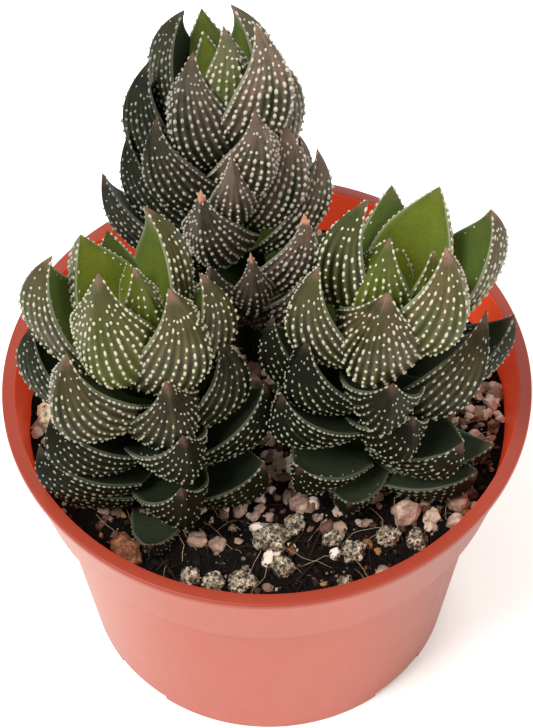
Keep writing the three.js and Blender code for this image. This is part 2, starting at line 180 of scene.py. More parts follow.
# Leaves, youngest first: [azimuth, height of the root on the stem, length, width, lean, bend, sweep].
# Azimuths run from 0 at the front over 90 at the right; lean is the rise of the root from level.
# Sweep, where there is one, is how far the tip strays sideways.
LEFT_LEAVES = [
    [150, 45, 18, 7, 84, 10], [45, 43, 26, 12, 78, 14], [226, 41, 27, 17, 70, 16],
    [347, 42, 32, 19, 52, 58], [122, 39, 34, 16, 60, 40, 3.6], [268, 38, 34, 17, 38, 76],
    [52, 37, 32.5, 20, 46, 54], [192, 34, 31, 15, 62, 30], [86, 34.5, 32.5, 17, 35, 66],
    [324, 31, 32, 20, 24, 80], [272, 25, 32, 17, 24, 76], [225, 28, 27, 17, 44, 44],
    [155, 28, 27, 17, 44, 44], [28, 25.5, 27, 17.5, 26, 74], [77, 23, 31, 17, 22, 80],
    [308, 17, 29, 18, 20, 70], [250, 19, 25, 17, 26, 50], [190, 19, 25, 17, 30, 48],
    [26, 20, 27, 16.5, 12, 70], [130, 17, 25, 17, 24, 50], [78, 13.5, 32, 17, 14, 64],
    [300, 9, 29, 18, 12, 68], [222, 10, 24, 16, 16, 50], [160, 9, 24, 16, 16, 50],
    [293, 4, 25.5, 17, 9, 66], [20, 6, 25, 16, 8, 74], [64, 4, 27, 17, 4, 60],
    [108, 5, 23, 15, 12, 50], [357, -1, 21, 11, -6, 66],
]
RIGHT_LEAVES = [
    [180, 46, 15, 8, 84, 10], [58, 43, 25, 12, 78, 14], [316, 45, 27, 15, 74, 22],
    [147, 45, 28, 18, 68, 14], [38, 44, 32, 18, 48, 62], [277, 45, 35, 16, 56, 50],
    [342, 40, 28, 21.5, 38, 68], [190, 38, 31, 17, 64, 16], [105, 41, 35, 17, 38, 62],
    [296, 38, 35, 17, 28, 72], [50, 23, 32, 19, 42, 52, 9], [240, 31, 27, 17, 46, 44],
    [90, 23, 33, 16, 24, 54], [358, 31.5, 26, 17, 12, 74], [305, 26, 32, 16.5, 22, 70],
    [165, 27, 27, 17, 38, 46], [215, 23, 26, 17, 32, 48], [286, 24, 35.5, 15, 25, 58],
    [306, 19, 30, 18, 10, 66], [46, 13.5, 25, 18, 8, 58], [17, 20, 23, 16, 14, 72],
    [130, 17, 25, 16, 22, 50], [58, 3, 26, 17, 4, 52], [322, 9, 25, 16, 2, 60],
    [185, 12, 25, 17, 20, 50], [284, 15, 23.5, 15, 10, 56], [74, 5, 26, 15, 4, 46],
    [350, 5, 19, 14, -2, 50], [238, 8, 23, 16, 12, 48], [142, 5, 23, 16, 8, 46],
]
BACK_LEAVES = [
    [200, 54, 17, 8, 82, 8], [36, 52, 25, 12.5, 79, 12], [192, 46, 28, 18, 70, 20],
    [118, 46.5, 30.5, 15.5, 62, 46, 1.6], [250, 48, 30.5, 16, 58, 58], [328, 46.5, 27, 17, 54, 60],
    [58, 50, 30, 17.5, 46, 58], [280, 40, 32, 17.5, 40, 66], [215, 42, 28, 16, 60, 30],
    [30, 41, 27, 15, 32, 60], [100, 39, 29, 16, 48, 50], [165, 40, 28, 16, 58, 32],
    [308, 37, 27.5, 17, 34, 62], [235, 34, 27, 16, 46, 44], [62, 30, 29.5, 16, 41, 54],
    [145, 33, 27, 16, 46, 42], [286, 27.5, 32.5, 15, 34, 54], [9, 34, 26, 10.5, 30, 60],
    [190, 32, 26, 16, 44, 44], [82, 23, 29, 15, 30, 54], [250, 26, 26, 16, 36, 48],
    [346, 26, 28, 15, 24, 70], [282, 21, 34, 15, 24, 52], [55, 15.5, 27, 16, 28, 54],
    [120, 21, 26, 15, 32, 50], [168, 20, 26, 15, 32, 50], [13, 12.5, 28, 10.5, 18, 74],
    [305, 12, 25, 15, 26, 52], [42, 8, 25, 15, 18, 54], [212, 14, 25, 15, 24, 50],
    [90, 9, 25, 15, 20, 50], [145, 10, 24, 15, 20, 50], [258, 11, 25, 15, 20, 50],
    [346, 10, 26, 15, 24, 66], [196, 4, 21, 14, 14, 50],
]
# Each stem's foot on the soil, how far it leans and towards which azimuth, and how slender its leaf tips are.
# Looks: how far apart the rows of tubercles run, how large they are and how far drawn out, the painted light
# level of the upper leaves, below which share of the stem's height the leaves are painted dark as painted
# shade, the azimuth of the stem's flushed side and how much duller the other side is, and which leaves keep a
# high painted light level all the same or have a dried tip.
STEMS = [
    {
        "name": "plant_back", "foot": (-4, 20), "tilt": 13.5, "toward": 200, "pinch": 0.42,
        "leaves": BACK_LEAVES, "skin": "bronze", "rows": 1.65, "bead": 1.25, "dash": 0.6,
        "top": 1, "dark": -0.3, "sunny": 60, "dull": 0.92, "light": (), "dry": (21, 23, 26),
    },
    {
        "name": "plant_left", "foot": (-21, -17), "tilt": 5, "toward": 250, "pinch": 0.32,
        "leaves": LEFT_LEAVES, "skin": "green", "rows": 1.85, "bead": 1.05, "dash": 1,
        "top": 0.72, "dark": 0.44, "sunny": 20, "dull": 0, "light": (), "dry": (),
    },
    {
        "name": "plant_right", "foot": (17.5, -12), "tilt": 6.5, "toward": 95, "pinch": 0.24,
        "leaves": RIGHT_LEAVES, "skin": "green", "rows": 1.85, "bead": 1.05, "dash": 1,
        "top": 1, "dark": 0.6, "sunny": 50, "dull": 0, "light": (10,), "dry": (),
    },
]

# Loose stones that lie on the soil: [x, y, length, breadth, height, turn]
PUMICE = [
    [0.7, -32, 6.6, 5.4, 4.6, 20], [5.2, -28.4, 4.4, 3.6, 3.2, 70], [12.3, -31.7, 3.8, 3.4, 3, 10],
    [16.5, -34.7, 4.8, 4.2, 3.8, 40], [2.7, -38.1, 4.8, 3.8, 3.4, 150], [23.2, -31.4, 4.8, 4.4, 3.8, 30],
    [28.8, -31.5, 4.8, 4, 3.6, 110], [-15.1, -39.2, 4.4, 3.8, 3.4, 60], [-10.6, -40.8, 4.2, 3.8, 3.2, 0],
    [-5.4, -41.2, 5.2, 4.2, 4, 15], [14.5, -42.3, 3.8, 3.2, 3, 80],
]
PEBBLES = [
    [-13.8, -31.4, 3.8, 3.4, 3.2, 0], [-9.9, -32.4, 3.4, 3.2, 3, 50], [6.3, -23.3, 4.2, 3.8, 3.4, 20],
    [26.8, -26.3, 5.6, 5, 4.6, 35], [37.4, -23.2, 5, 4.4, 4, 80], [36.8, -28.2, 4.6, 4, 3.6, 10],
    [22.2, -39.4, 4.6, 3.8, 3.4, 130], [-3.6, 5.6, 5.2, 4.6, 4.2, 15], [-1.6, 0.4, 4.8, 4.4, 3.8, 60],
]
CLAY = [
    [-27.4, -34.2, 7, 5.4, 5, 120], [38.5, 6.5, 5.2, 4.6, 4.2, 40], [-43.6, -1.5, 5.8, 4.6, 4.6, 95],
]
STONE_SINK = 0.3
STONE_LUMPS = 0.09
STONE_WAVES = (5, 4, 6)
LUMP_SHARE = 0.8


def linear(level):
    """One colour channel, 0 to 255 as in a colour picker, in linear light."""
    level = level / 255
    return level / 12.92 if level <= 0.04045 else ((level + 0.055) / 1.055) ** 2.4


def paint(red, green, blue):
    """Colour for a socket from channels as in a colour picker."""
    return (linear(red), linear(green), linear(blue), 1.0)


class Wire:
    """An output socket that can be used in plain arithmetic."""

    def __init__(self, graph, socket):
        self.graph = graph
        self.socket = socket

    def maths(self, operation, first, second):
        return self.graph.node("ShaderNodeMath", {"operation": operation}, {0: first, 1: second})

    def __add__(self, other):
        return self.maths("ADD", self, other)

    __radd__ = __add__

    def __sub__(self, other):
        return self.maths("SUBTRACT", self, other)

    def __rsub__(self, other):
        return self.maths("SUBTRACT", other, self)

    def __mul__(self, other):
        return self.maths("MULTIPLY", self, other)

    __rmul__ = __mul__

    def __truediv__(self, other):
        return self.maths("DIVIDE", self, other)

    def __pow__(self, other):
        return self.maths("POWER", self, other)


def pick(sockets, key):
    """The socket at a number, or the one in use under a name."""
    if isinstance(key, int):
        return sockets[key]
    return next(socket for socket in sockets if socket.name == key and socket.enabled)


class Graph:
    """A node tree that grows by one node at a time."""

    def __init__(self, tree):
        self.tree = tree

    def node(self, kind, settings=None, inputs=None, output=0):
        """Adds a node, sets it, then gives its sockets their values or links; returns one of its outputs."""
        made = self.tree.nodes.new(kind)
        for name, value in (settings or {}).items():
            if name == "stops":
                self.set_stops(made.color_ramp, value)
            else:
                setattr(made, name, value)
        for key, value in (inputs or {}).items():
            target = pick(made.inputs, key)
            if isinstance(value, Wire):
                self.tree.links.new(value.socket, target)
            else:
                target.default_value = value
        return Wire(self, pick(made.outputs, output)) if len(made.outputs) else made

    @staticmethod
    def set_stops(ramp, stops):
        while len(ramp.elements) < len(stops):
            ramp.elements.new(1.0)
        for element, (place, colour) in zip(ramp.elements, stops):
            element.position = place
            element.color = colour


class Finish(Graph):
    """The node tree of a material, with the few patterns that the finishes here share."""

    def __init__(self, name):
        self.material = bpy.data.materials.new(name)
        self.material.use_nodes = True
        super().__init__(self.material.node_tree)
        self.tree.nodes.clear()
        self.place = self.node("ShaderNodeTexCoord", output="Object")

    def value(self, name):
        """Number that the mesh carries at each point."""
        return self.node("ShaderNodeAttribute", {"attribute_name": name}, output="Fac")

    def measure(self, axis):
        """Place along one axis, in millimetres."""
        return self.node("ShaderNodeSeparateXYZ", None, {0: self.place}, axis) / MM

    def absolute(self, value):
        return self.node("ShaderNodeMath", {"operation": "ABSOLUTE"}, {0: value})

    def noise(self, size, detail=3.0, roughness=0.55, place=None):
        """Cloudy pattern from 0 to 1 whose blotches are about size millimetres wide."""
        settings = {"Scale": 1 / (size * MM), "Detail": detail, "Roughness": roughness}
        return self.node("ShaderNodeTexNoise", None, {"Vector": place or self.place, **settings}, "Fac")

    def streaks(self, x, y, z):
        """Cloudy pattern from 0 to 1 over three numbers that were worked out from the surface."""
        place = self.node("ShaderNodeCombineXYZ", None, {0: x, 1: y, 2: z})
        return self.node("ShaderNodeTexNoise", None, {"Vector": place, "Scale": 1.0, "Detail": 2.0}, "Fac")

    def cells(self, size):
        """Distance to the nearest of scattered points that lie about size millimetres apart."""
        inputs = {"Vector": self.place, "Scale": 1 / (size * MM)}
        return self.node("ShaderNodeTexVoronoi", None, inputs, "Distance")

    def rise(self, value, low, high):
        """Smooth step from 0 at low to 1 at high; falls instead where low is above high."""
        if low > high:
            return 1 - self.rise(value, high, low)
        inputs = {"Value": value, "From Min": low, "From Max": high}
        return self.node("ShaderNodeMapRange", {"interpolation_type": "SMOOTHSTEP"}, inputs)

    def mix(self, factor, first, second):
        return self.node("ShaderNodeMix", {"data_type": "RGBA"}, {0: factor, 6: first, 7: second}, 2)

    def ramp(self, value, *stops):
        return self.node("ShaderNodeValToRGB", {"stops": stops}, {"Fac": value}, "Color")

    def bump(self, height, depth, strength=1.0, under=None):
        """Relief from a 0 to 1 height, depth millimetres deep."""
        inputs = {"Height": height, "Distance": depth * MM, "Strength": strength}
        if under:
            inputs["Normal"] = under
        return self.node("ShaderNodeBump", None, inputs)

    def close(self, colour, roughness, normal=None, **constants):
        """Ends the tree in a principled surface."""
        inputs = {"Base Color": colour, "Roughness": roughness}
        inputs.update({name.replace("_", " "): value for name, value in constants.items()})
        if normal:
            inputs["Normal"] = normal
        surface = self.node("ShaderNodeBsdfPrincipled", None, inputs)
        self.node("ShaderNodeOutputMaterial", None, {"Surface": surface})
        return self.material


class Recipe(Graph):
    """A geometry tree with named inputs."""

    KINDS = {"Geometry": "NodeSocketGeometry", "Material": "NodeSocketMaterial", "Seed": "NodeSocketInt"}

    def __init__(self, name, *inputs):
        super().__init__(bpy.data.node_groups.new(name, "GeometryNodeTree"))
        self.names = {}
        for key in ("Geometry", "Material", *inputs):
            kind = self.KINDS.get(key, "NodeSocketFloat")
            made = self.tree.interface.new_socket(key, in_out="INPUT", socket_type=kind)
            self.names[key] = made.identifier
        self.tree.interface.new_socket("Geometry", in_out="OUTPUT", socket_type="NodeSocketGeometry")
        self.entry = self.tree.nodes.new("NodeGroupInput")

    def given(self, name):
        return Wire(self, pick(self.entry.outputs, name))

    def attribute(self, name, kind="FLOAT"):
        """Number or vector that the source mesh carries at each point."""
        return self.node("GeometryNodeInputNamedAttribute", {"data_type": kind}, {"Name": name})

    def random(self, low, high, salt, kind="FLOAT"):
        """Random value for each point; salt keeps the draws of one tree apart."""
        inputs = {"Min": low, "Max": high, "Seed": self.given("Seed") + salt}
        return self.node("FunctionNodeRandomValue", {"data_type": kind}, inputs, "Value")

    def vector(self, x, y, z):
        return self.node("ShaderNodeCombineXYZ", None, {0: x, 1: y, 2: z})

    def end(self, geometry, smooth):
        """Ends the tree: realizes the instances and sets the shading and the material."""
        real = self.node("GeometryNodeRealizeInstances", None, {"Geometry": geometry})
        shaded = self.node("GeometryNodeSetShadeSmooth", None, {"Geometry": real, "Shade Smooth": smooth})
        inputs = {"Geometry": shaded, "Material": self.given("Material")}
        coated = self.node("GeometryNodeSetMaterial", None, inputs)
        self.tree.links.new(coated.socket, self.tree.nodes.new("NodeGroupOutput").inputs[0])

    def grow(self, name, source, **values):
        """Plain mesh object that the tree makes from a source object, which is used up."""
        modifier = source.modifiers.new(name, "NODES")
        modifier.node_group = self.tree
        for key, value in values.items():
            modifier[self.names[key]] = value
        bpy.context.view_layer.update()
        graph = bpy.context.evaluated_depsgraph_get()
        mesh = bpy.data.meshes.new_from_object(source.evaluated_get(graph))
        source.modifiers.remove(modifier)
        mesh.name = name
        bpy.data.objects.remove(source)
        return place_object(name, mesh)


def place_object(name, mesh):
    """Object at the origin, in the scene."""
    made = bpy.data.objects.new(name, mesh)
    bpy.context.scene.collection.objects.link(made)
    return made


def set_values(mesh, values):
    """Gives a mesh one number, or one vector, a point under each name."""
    for key, numbers in values.items():
        numbers = np.asarray(numbers, np.float32)
        kind, field = ("FLOAT_VECTOR", "vector") if numbers.ndim == 2 else ("FLOAT", "value")
        mesh.attributes.new(key, kind, "POINT").data.foreach_set(field, numbers.ravel())


def mesh_object(name, points, faces, material=None, edges=(), smooth=True, **values):
    """Object at the origin from points in millimetres."""
    mesh = bpy.data.meshes.new(name)
    mesh.from_pydata((np.asarray(points, float) * MM).tolist(), list(edges), list(faces))
    mesh.polygons.foreach_set("use_smooth", [smooth] * len(mesh.polygons))
    if material:
        mesh.materials.append(material)
    set_values(mesh, values)
    return place_object(name, mesh)


def dress(piece, slot, *nodes):
    """Hangs a finished piece of the plant under the root body, and hides the parts that it replaces."""
    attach(piece, "root")
    if nodes:
        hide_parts(*nodes)


def ring_faces(rows, columns):
    """Quads between rings of points that follow each other."""
    row, column = np.meshgrid(np.arange(rows - 1), np.arange(columns), indexing="ij")
    after = (column + 1) % columns
    near = row * columns
    far = near + columns
    corners = [near + column, near + after, far + after, far + column]
    return np.stack([corner.ravel() for corner in corners], axis=1).tolist()


def turned(profile, sectors):
    """Points and faces of a solid turned about +Z from [radius, height] pairs, axis to axis."""
    rings = np.array(profile[1:-1], float)
    angle = np.arange(sectors) * 2 * math.pi / sectors
    x = rings[:, :1] * np.cos(angle)
    y = rings[:, :1] * np.sin(angle)
    z = np.repeat(rings[:, 1:], sectors, axis=1)
    points = np.stack([x.ravel(), y.ravel(), z.ravel()], axis=1)
    count = len(points)
    ends = [[0, 0, profile[0][1]], [0, 0, profile[-1][1]]]
    faces = ring_faces(len(rings), sectors)
    last = count - sectors
    for i in range(sectors):
        after = (i + 1) % sectors
        faces.append([count, after, i])
        faces.append([count + 1, last + i, last + after])
    return np.vstack([points, ends]), faces


def facing_out(mesh):
    """Turns every face of a closed mesh outwards."""
    work = bmesh.new()
    work.from_mesh(mesh)
    bmesh.ops.recalc_face_normals(work, faces=work.faces)
    work.to_mesh(mesh)
    work.free()


def rounded(corners):
    """Profile whose corners [radius, height, fillet] are rounded off by that fillet."""
    points = [corners[0][:2]]
    for before, corner, after in zip(corners, corners[1:], corners[2:]):
        middle = Vector(corner[:2])
        back = Vector(before[:2]) - middle
        ahead = Vector(after[:2]) - middle
        fillet = corner[2]
        if not fillet:
            points.append(tuple(middle))
            continue
        half = back.angle(ahead) / 2
        reach = min(fillet / math.tan(half), 0.45 * back.length, 0.45 * ahead.length)
        start = middle + back.normalized() * reach
        end = middle + ahead.normalized() * reach
        for i in range(FILLET_STEPS + 1):
            t = i / FILLET_STEPS
            points.append(tuple((1 - t) ** 2 * start + 2 * t * (1 - t) * middle + t * t * end))
    points.append(corners[-1][:2])
    return points


def set_camera():
    """Camera at the photograph's viewing angle."""
    data = bpy.data.cameras.new("camera")
    data.lens = LENS
    data.clip_end = 10
    camera = bpy.data.objects.new("camera", data)
    bpy.context.scene.collection.objects.link(camera)
    tilt = Matrix.Rotation(math.radians(90 - LOOK_DOWN), 4, "X")
    roll = Matrix.Rotation(math.radians(ROLL), 4, "Z")
    camera.matrix_world = Matrix.Translation(CAMERA_PLACE) @ tilt @ roll
    bpy.context.scene.camera = camera


def softbox(name, place, size, power, tint):
    """Round, soft lamp that aims at the plant."""
    data = bpy.data.lights.new(name, "AREA")
    data.shape = "DISK"
    data.size = size
    data.energy = power
    data.color = tint
    lamp = bpy.data.objects.new(name, data)
    bpy.context.scene.collection.objects.link(lamp)
    lamp.location = place
    lamp.rotation_euler = (Vector(LAMP_AIM) - Vector(place)).to_track_quat("-Z", "Y").to_euler()


def set_studio():
    """Pale floor and sky, a soft lamp from the upper left, and weaker ones from the right and the back."""
    bpy.context.scene.view_settings.view_transform = "Standard"
    world = bpy.data.worlds.new("studio")
    bpy.context.scene.world = world
    world.use_nodes = True
    sky = world.node_tree.nodes["Background"].inputs
    sky["Color"].default_value = paint(253, 252, 250)
    sky["Strength"].default_value = SKY_STRENGTH
    for lamp in LAMPS:
        softbox(*lamp)
    finish = Finish("studio_floor_pale")
    colour = finish.mix(finish.noise(60) * 0.1, paint(252, 252, 251), paint(246, 246, 245))
    material = finish.close(colour, 0.7)
    corners = [[x * FLOOR_REACH, y * FLOOR_REACH, 0] for x, y in ((-1, -1), (1, -1), (1, 1), (-1, 1))]
    floor = mesh_object("studio_floor", corners, [[0, 1, 2, 3]], material)


def soil_height(x, y):
    """Height of the soil without its crumbly relief."""
    swell, dip = MOUND_WAVES[0] * x + MOUND_SHIFTS[0], MOUND_WAVES[1] * y + MOUND_SHIFTS[1]
    mounds = MOUND_HEIGHT * np.sin(swell) * np.cos(dip)
    ripples = RIPPLE_HEIGHT * np.sin(RIPPLE_WAVES[0] * x + RIPPLE_WAVES[1] * y + RIPPLE_SHIFT)
    return SOIL_LEVEL + mounds + ripples - WALL_SAG * (np.hypot(x, y) / RIM_RADIUS) ** 4


def inner_radius(z):
    """Radius of the pot's inner face at a height."""
    collar_foot = COLLAR_FOOT_HEIGHT + WALL
    if z >= collar_foot:
        heights = [collar_foot, POT_HEIGHT]
        return np.interp(z, heights, [COLLAR_FOOT_RADIUS - WALL, RIM_RADIUS - LIP_WIDTH])
    return np.interp(z, [0, COLLAR_FOOT_HEIGHT], [FOOT_RADIUS - WALL, WALL_TOP_RADIUS - WALL])


def pot_plastic():
    """Injection-moulded terracotta plastic with a painted sheen outside, and a brighter inner wall with a
    painted glow.
    """
    finish = Finish("pot_terracotta_plastic")
    normal = finish.node("ShaderNodeNewGeometry", output="Normal")
    flat = finish.node("ShaderNodeVectorMath", {"operation": "MULTIPLY"}, {0: finish.place, 1: (1, 1, 0)})
    radial = finish.node("ShaderNodeVectorMath", {"operation": "NORMALIZE"}, {0: flat})
    compared = {0: radial, 1: normal}
    outward = finish.node("ShaderNodeVectorMath", {"operation": "DOT_PRODUCT"}, compared, "Value")
    side = finish.measure("X")
    height = finish.measure("Z")
    outside = finish.rise(outward, 0.55, 0.95) * finish.rise(height, POT_HEIGHT - 0.2, POT_HEIGHT - LIP_EDGE)
    inside = finish.rise(outward, -0.3, -0.8)
    streaks = finish.node("ShaderNodeMapping", None, {"Vector": finish.place, "Scale": (1, 1, 0.06)})
    clouds = finish.noise(14, 4, 0.6)
    wiped = finish.noise(2.2, 3, 0.6, streaks)
    lip = finish.mix(clouds * 0.6, paint(144, 54, 36), paint(128, 46, 32))
    # Painted light: the inner wall is painted a brighter orange than the lip of the same plastic
    body = finish.mix(inside, lip, paint(222, 80, 44))
    # Painted sheen: the outer wall is painted paler and pinker than the lip, with wiped streaks in it
    painted_sheen_wall = finish.mix(wiped * 0.5 + clouds * 0.3, paint(178, 89, 69), paint(164, 78, 60))
    # Painted shade: the right side of the outer wall is painted darker
    shaded = finish.mix(finish.rise(side, 10, 42) * 0.8, painted_sheen_wall, paint(126, 82, 72))
    # Painted light: the left side of the outer wall is painted paler
    painted_light_left = finish.mix(finish.rise(side, -16, -44) * 0.75, shaded, paint(186, 138, 124))
    colour = finish.mix(outside * (0.82 + 0.18 * clouds), body, painted_light_left)
    roughness = 0.34 + 0.1 * finish.noise(5, 4) + 0.1 * outside
    grain = finish.bump(finish.noise(0.25, 2), 0.02, 0.5)
    ripple = finish.bump(wiped, 0.03, 0.4, grain)
    # Painted glow: the inner wall gives off light in its own orange
    painted_glow = finish.mix(inside, paint(0, 0, 0), paint(220, 62, 34))
    return finish.close(
        colour, roughness, ripple, Specular_IOR_Level=0.25, Emission_Color=painted_glow, Emission_Strength=0.27
    )


def cut_from(piece, cutter):
    """Cuts one object out of another, and deletes it."""
    modifier = piece.modifiers.new("cut", "BOOLEAN")
    modifier.operation = "DIFFERENCE"
    modifier.solver = "EXACT"
    modifier.object = cutter
    bpy.context.view_layer.update()
    mesh = bpy.data.meshes.new_from_object(piece.evaluated_get(bpy.context.evaluated_depsgraph_get()))
    piece.modifiers.remove(modifier)
    piece.data = mesh
    bpy.data.objects.remove(cutter)


def pot_cutters():
    """Notches in the foot ring and the drain slots, all in one cutter object."""
    points = []
    faces = []
    floor_top = FOOT_RECESS + WALL
    drain_middle = FOOT_RADIUS - 2 * FOOT_RING_WIDTH - DRAIN_WIDTH
    for i in range(NOTCH_COUNT):
        turn = Matrix.Rotation(math.pi / 4 + i * 2 * math.pi / NOTCH_COUNT, 3, "Z")
        boxes = [
            (FOOT_RADIUS, 4 * FOOT_RING_WIDTH, NOTCH_WIDTH, 2 * FOOT_RECESS),
            (drain_middle, DRAIN_WIDTH, DRAIN_LENGTH, 4 * floor_top),
        ]
        for middle, depth, width, height in boxes:
            start = len(points)
            for x in (-0.5, 0.5):
                for y in (-0.5, 0.5):
                    for z in (-0.5, 0.5):
                        points.append(turn @ Vector((middle + x * depth, y * width, z * height)))
            sides = [(0, 1, 3, 2), (4, 6, 7, 5), (0, 4, 5, 1), (2, 3, 7, 6), (0, 2, 6, 4), (1, 5, 7, 3)]
            faces.extend([[start + corner for corner in side] for side in sides])
    return mesh_object("pot_cutters", [tuple(point) for point in points], faces, smooth=False)


def make_pot():
    """Pot with rounded edges, from a profile of corners [radius, height, fillet]."""
    floor_top = FOOT_RECESS + WALL
    collar_foot = COLLAR_FOOT_HEIGHT + WALL
    step_foot = COLLAR_FOOT_HEIGHT - STEP_HEIGHT
    foot_inside = FOOT_RADIUS - FOOT_RING_WIDTH
    corners = [
        [0, FOOT_RECESS],
        [foot_inside, FOOT_RECESS, 0.4],
        [foot_inside, 0, 0.3],
        [FOOT_RADIUS, 0, 0.5],
        [WALL_TOP_RADIUS, step_foot, 0.3],
        [COLLAR_FOOT_RADIUS, COLLAR_FOOT_HEIGHT, 0.5],
        [COLLAR_TOP_RADIUS, POT_HEIGHT - LIP_EDGE, 0.2],
        [RIM_RADIUS, POT_HEIGHT - LIP_EDGE, 0.2],
        [RIM_RADIUS, POT_HEIGHT, 0.45],
        [RIM_RADIUS - LIP_WIDTH, POT_HEIGHT, 0.4],
        [inner_radius(collar_foot), collar_foot, 0.4],
        [inner_radius(step_foot), step_foot, 0.4],
        [inner_radius(floor_top), floor_top, 1.2],
        [0, floor_top],
    ]
    points, faces = turned(rounded(corners), POT_SECTORS)
    pot = mesh_object("pot_shell", points, faces, pot_plastic())
    facing_out(pot.data)
    cut_from(pot, pot_cutters())
    pot.data.polygons.foreach_set("use_smooth", [True] * len(pot.data.polygons))
    pot.data.set_sharp_from_angle(angle=math.radians(CREASE_ANGLE))
    dress(pot, "pot_plastic", "pot")


def peat():
    """Near-black fibrous peat with brown flecks."""
    finish = Finish("soil_peat")
    clumps = finish.noise(3, 5, 0.65)
    flecks = finish.noise(0.5, 4, 0.7)
    colour = finish.ramp(
        clumps * 0.55 + flecks * 0.45,
        (0.34, paint(7, 6, 5)),
        (0.56, paint(17, 13, 11)),
        (0.68, paint(38, 28, 22)),
        (0.8, paint(76, 58, 45)),
    )
    relief = finish.bump(flecks, 0.5, 0.9, finish.bump(clumps, 1.2, 0.8))
    return finish.close(colour, 0.93, relief, Specular_IOR_Level=0.1)


def stirred(x, y, size, salt):
    """Fractal noise around 0 at each of the places, in blotches of the given size; salt shifts it."""
    return np.array([noise.fractal(Vector((u / size, v / size, salt)), 0.7, 2.1, 4) for u, v in zip(x, y)])


def make_soil():
    """Plug of soil with a crumbly top, closed below and along the wall."""
    rings = [(i / SOIL_RING_COUNT) ** SOIL_RING_BIAS for i in range(1, SOIL_RING_COUNT + 1)]
    angle = np.arange(SOIL_SECTORS) * 2 * math.pi / SOIL_SECTORS
    radius = np.array(rings)[:, None] * (inner_radius(SOIL_LEVEL) - TOP_GAP)
    x = (radius * np.cos(angle)).ravel()
    y = (radius * np.sin(angle)).ravel()
    relief = stirred(x, y, CLOD_SIZE, 1.3) + CRUMB_SHARE * stirred(x, y, CRUMB_SIZE, 7.7)
    z = soil_height(x, y) + RELIEF_HEIGHT * np.clip(relief, *RELIEF_LIMITS)
    top = np.stack([x, y, z], axis=1)
    skirt = []
    heights = [COLLAR_FOOT_HEIGHT + 2 * WALL, COLLAR_FOOT_HEIGHT - STEP_HEIGHT, FOOT_RECESS + WALL + GAP]
    for height in heights:
        side = inner_radius(height) - GAP
        level = np.full(SOIL_SECTORS, height)
        skirt.append(np.stack([side * np.cos(angle), side * np.sin(angle), level], axis=1))
    points = np.vstack([top, *skirt])
    count = len(points)
    faces = ring_faces(SOIL_RING_COUNT + len(heights), SOIL_SECTORS)
    for i in range(SOIL_SECTORS):
        after = (i + 1) % SOIL_SECTORS
        faces.append([count, after, i])
        faces.append([count + 1, count - SOIL_SECTORS + i, count - SOIL_SECTORS + after])
    ends = [[0, 0, float(soil_height(0, 0))], [0, 0, heights[-1]]]
    soil = mesh_object("soil_bed", np.vstack([points, ends]), faces, peat())
    facing_out(soil.data)
    dress(soil, "soil_mix", "soil")


def soil_patch(name, chance):
    """Open round sheet along the soil's surface; chance(x, y) gives how thickly each place is strewn."""
    reach = inner_radius(SOIL_LEVEL) - SHEET_GAP
    grid = np.linspace(-1, 1, SHEET_SIDE)
    row, column = np.meshgrid(grid, grid, indexing="ij")
    square = np.maximum(np.maximum(abs(row), abs(column)), TINY)
    scale = reach / np.maximum(np.hypot(row, column) / square, TINY)
    x = (column * scale).ravel()
    y = (row * scale).ravel()
    points = np.stack([x, y, soil_height(x, y) + SHEET_RISE], axis=1)
    start = np.arange(SHEET_SIDE * SHEET_SIDE).reshape(SHEET_SIDE, SHEET_SIDE)
    corners = [start[:-1, :-1], start[:-1, 1:], start[1:, 1:], start[1:, :-1]]
    faces = np.stack([corner.ravel() for corner in corners], axis=1).tolist()
    return mesh_object(name, points, faces, strewn=chance(x, y))


def chip_shapes(recipe):
    """Lumpy balls in a few shapes, to be picked from."""
    shapes = recipe.node("GeometryNodeJoinGeometry")
    joined = shapes.socket.node
    place = recipe.node("GeometryNodeInputPosition")
    for i in range(CHIP_SHAPES):
        ball = recipe.node("GeometryNodeMeshIcoSphere", None, {"Radius": 0.5, "Subdivisions": 2}, "Mesh")
        shift = (3.1 * i, 1.7 * i, 5.3 * i)
        shifted = recipe.node("ShaderNodeVectorMath", {"operation": "ADD"}, {0: place, 1: shift})
        lumps = recipe.node("ShaderNodeTexNoise", None, {"Vector": shifted, "Scale": 2.6, "Detail": 2}, "Fac")
        swelling = lumps * 1.8 - 0.9
        offset = recipe.node("ShaderNodeVectorMath", {"operation": "SCALE"}, {0: place, "Scale": swelling})
        chip = recipe.node("GeometryNodeSetPosition", None, {"Geometry": ball, "Offset": offset})
        shape = recipe.node("GeometryNodeGeometryToInstance", None, {0: chip})
        recipe.tree.links.new(shape.socket, joined.inputs[0])
    return shapes


